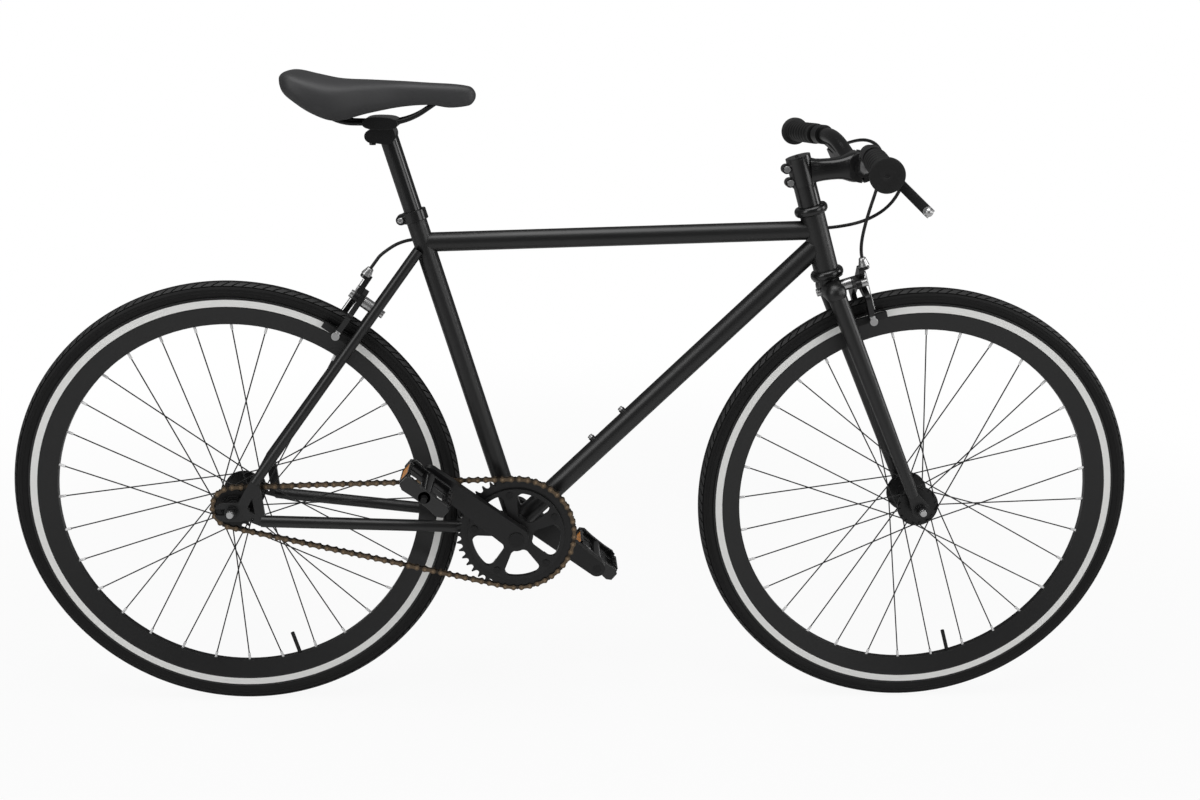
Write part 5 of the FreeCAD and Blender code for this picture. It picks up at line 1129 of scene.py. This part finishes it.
class BIKE_OT_brake_fittings(bpy.types.Operator):
    """Build the conical cable adjusters on both brakes"""

    bl_idname = "bike.brake_fittings"
    bl_label = "Brake fittings"

    def execute(self, context):
        right = ("front_brake_arm_right", FRONT_ADJUSTER, STEER_UP)
        left = ("rear_brake_arm_left", REAR_ADJUSTER, REAR_BRAKE_UP)
        for name, place, up in (right, left):
            cone = turned(scaled(ADJUSTER_CONE), place, -up, 32)
            built(name + "_adjuster", cone, "bright_steel", 35.0, name, "bright_steel")
            collar = turned(scaled(ADJUSTER_COLLAR), place, -up, 24)
            built(name + "_collar", collar, "pedal_plastic", 35.0, name, "pedal_plastic")
        return {"FINISHED"}


STUDIO_WHITE = (1.0, 1.0, 1.0, 1.0)
CAMERA_PLACE = Vector((-0.074, -2.0, 1.077))
CAMERA_TURN = radians(2.92)
CAMERA_TILT = radians(-16.09)
CAMERA_ROLL = radians(1.10)
CAMERA_LENS = 40.8
FLOOR_HALF = 6.0
FLOOR_DROP = -0.001
FLOOR_PALE = (0.66, 0.66, 0.66, 1.0)
FLOOR_PALEST = (0.69, 0.69, 0.69, 1.0)
# The floor's white to the camera, from the bike outwards, and the world's light on the object
FLOOR_FADE = {"From Min": 0.9, "From Max": 2.4, "To Min": 0.93, "To Max": 1.0}
WORLD_LIGHT = 0.11
# Each lamp's place, aim, size and power
LAMPS = (
    ("top_lamp", (-0.3, -0.6, 3.2), (0, 0, 0.5), (3.0, 2.0), 60.0),
    ("left_lamp", (-2.6, -1.8, 1.9), (0, 0, 0.5), (1.6, 2.0), 30.0),
    ("right_lamp", (2.4, -2.2, 1.6), (0, 0, 0.5), (1.4, 1.8), 19.0),
    ("edge_lamp", (3.2, -0.2, 1.5), (0, 0, 0.6), (1.0, 1.8), 26.0),
)


def soft_lamp(name, place, aim, size, power):
    lamp = bpy.data.lights.new(name, "AREA")
    lamp.shape = "RECTANGLE"
    lamp.size, lamp.size_y = size
    lamp.energy = power
    holder = placed(name, lamp)
    holder.location = place
    holder.rotation_euler = (Vector(aim) - Vector(place)).to_track_quat("-Z", "Y").to_euler()
    return holder


def studio_world():
    """Dim even light on the object, and white to the camera."""
    world = bpy.data.worlds.new("studio")
    finish = Finish("studio", world)
    seen = finish.value("ShaderNodeLightPath", output="Is Camera Ray")
    light = finish.value("ShaderNodeBackground", {"Color": STUDIO_WHITE, "Strength": WORLD_LIGHT})
    white = finish.value("ShaderNodeBackground", {"Color": STUDIO_WHITE, "Strength": 1.0})
    both = finish.value("ShaderNodeMixShader", {0: seen, 1: light, 2: white})
    finish.node("ShaderNodeOutputWorld", {"Surface": both})
    bpy.context.scene.world = world


def floor_finish():
    """Pale floor that reads as white to the camera and still takes a soft shadow."""
    finish = Finish("studio_floor")
    pale = finish.mixed(finish.noise(2.0), FLOOR_PALE, FLOOR_PALEST)
    matt = finish.value("ShaderNodeBsdfDiffuse", {"Color": pale})
    glow = finish.value("ShaderNodeEmission", {"Color": STUDIO_WHITE, "Strength": 1.0})
    reach = {"Value": finish.away((0, 0, 0))}
    fade = finish.value("ShaderNodeMapRange", reach | FLOOR_FADE, interpolation_type="SMOOTHSTEP")
    seen = finish.value("ShaderNodeLightPath", output="Is Camera Ray") * fade
    both = finish.value("ShaderNodeMixShader", {0: seen, 1: matt, 2: glow})
    finish.node("ShaderNodeOutputMaterial", {"Surface": both})
    return finish.owner


class BIKE_OT_stage(bpy.types.Operator):
    """Set the floor, the lamps and the camera"""

    bl_idname = "bike.stage"
    bl_label = "Stage"

    def execute(self, context):
        scene = context.scene
        scene.view_settings.view_transform = "Standard"
        studio_world()
        square = ((-1, -1), (1, -1), (1, 1), (-1, 1))
        corners = [(x * FLOOR_HALF, y * FLOOR_HALF, FLOOR_DROP) for x, y in square]
        floor = clean_mesh("studio_floor", corners, [(0, 1, 2, 3)], floor_finish())
        lamps = [soft_lamp(*lamp) for lamp in LAMPS]
        lens = bpy.data.cameras.new("camera")
        lens.lens = CAMERA_LENS
        camera = placed("camera", lens)
        turns = ((-CAMERA_TURN, "Z"), (pi / 2 + CAMERA_TILT, "X"), (CAMERA_ROLL, "Z"))
        place = Matrix.Translation(CAMERA_PLACE)
        for angle, axis in turns:
            place = place @ Matrix.Rotation(angle, 4, axis)
        camera.matrix_world = place
        scene.camera = camera
        return {"FINISHED"}


class BIKE_PT_panel(bpy.types.Panel):
    """Sizes, colours and building steps of the bike"""

    bl_idname = "BIKE_PT_panel"
    bl_label = "Fixed gear bike"
    bl_space_type = "VIEW_3D"
    bl_region_type = "UI"
    bl_category = "Bike"

    def draw(self, context):
        for group in (context.scene.bike_sizes, context.scene.bike_colours):
            for name in group.bl_rna.properties.keys():
                if name not in ("rna_type", "name"):
                    self.layout.prop(group, name)
        for operator in OPERATORS:
            self.layout.operator(operator.bl_idname)


OPERATORS = (
    BIKE_OT_finishes, BIKE_OT_tyres, BIKE_OT_saddle, BIKE_OT_grips, BIKE_OT_cables, BIKE_OT_chain,
    BIKE_OT_pedals, BIKE_OT_stem, BIKE_OT_seat_fittings, BIKE_OT_brake_fittings, BIKE_OT_stage,
)
CLASSES = (BikeSizes, BikeColours) + OPERATORS + (BIKE_PT_panel,)


def register():
    for item in CLASSES:
        bpy.utils.register_class(item)
    bpy.types.Scene.bike_sizes = PointerProperty(type=BikeSizes)
    bpy.types.Scene.bike_colours = PointerProperty(type=BikeColours)


def unregister():
    del bpy.types.Scene.bike_colours
    del bpy.types.Scene.bike_sizes
    for item in reversed(CLASSES):
        bpy.utils.unregister_class(item)


def main():
    register()
    bpy.ops.bike.finishes()
    bpy.ops.bike.tyres()
    bpy.ops.bike.saddle()
    bpy.ops.bike.grips()
    bpy.ops.bike.cables()
    bpy.ops.bike.chain()
    bpy.ops.bike.pedals()
    bpy.ops.bike.stem()
    bpy.ops.bike.seat_fittings()
    bpy.ops.bike.brake_fittings()
    bpy.ops.bike.stage()


if __name__ == "__main__":
    main()
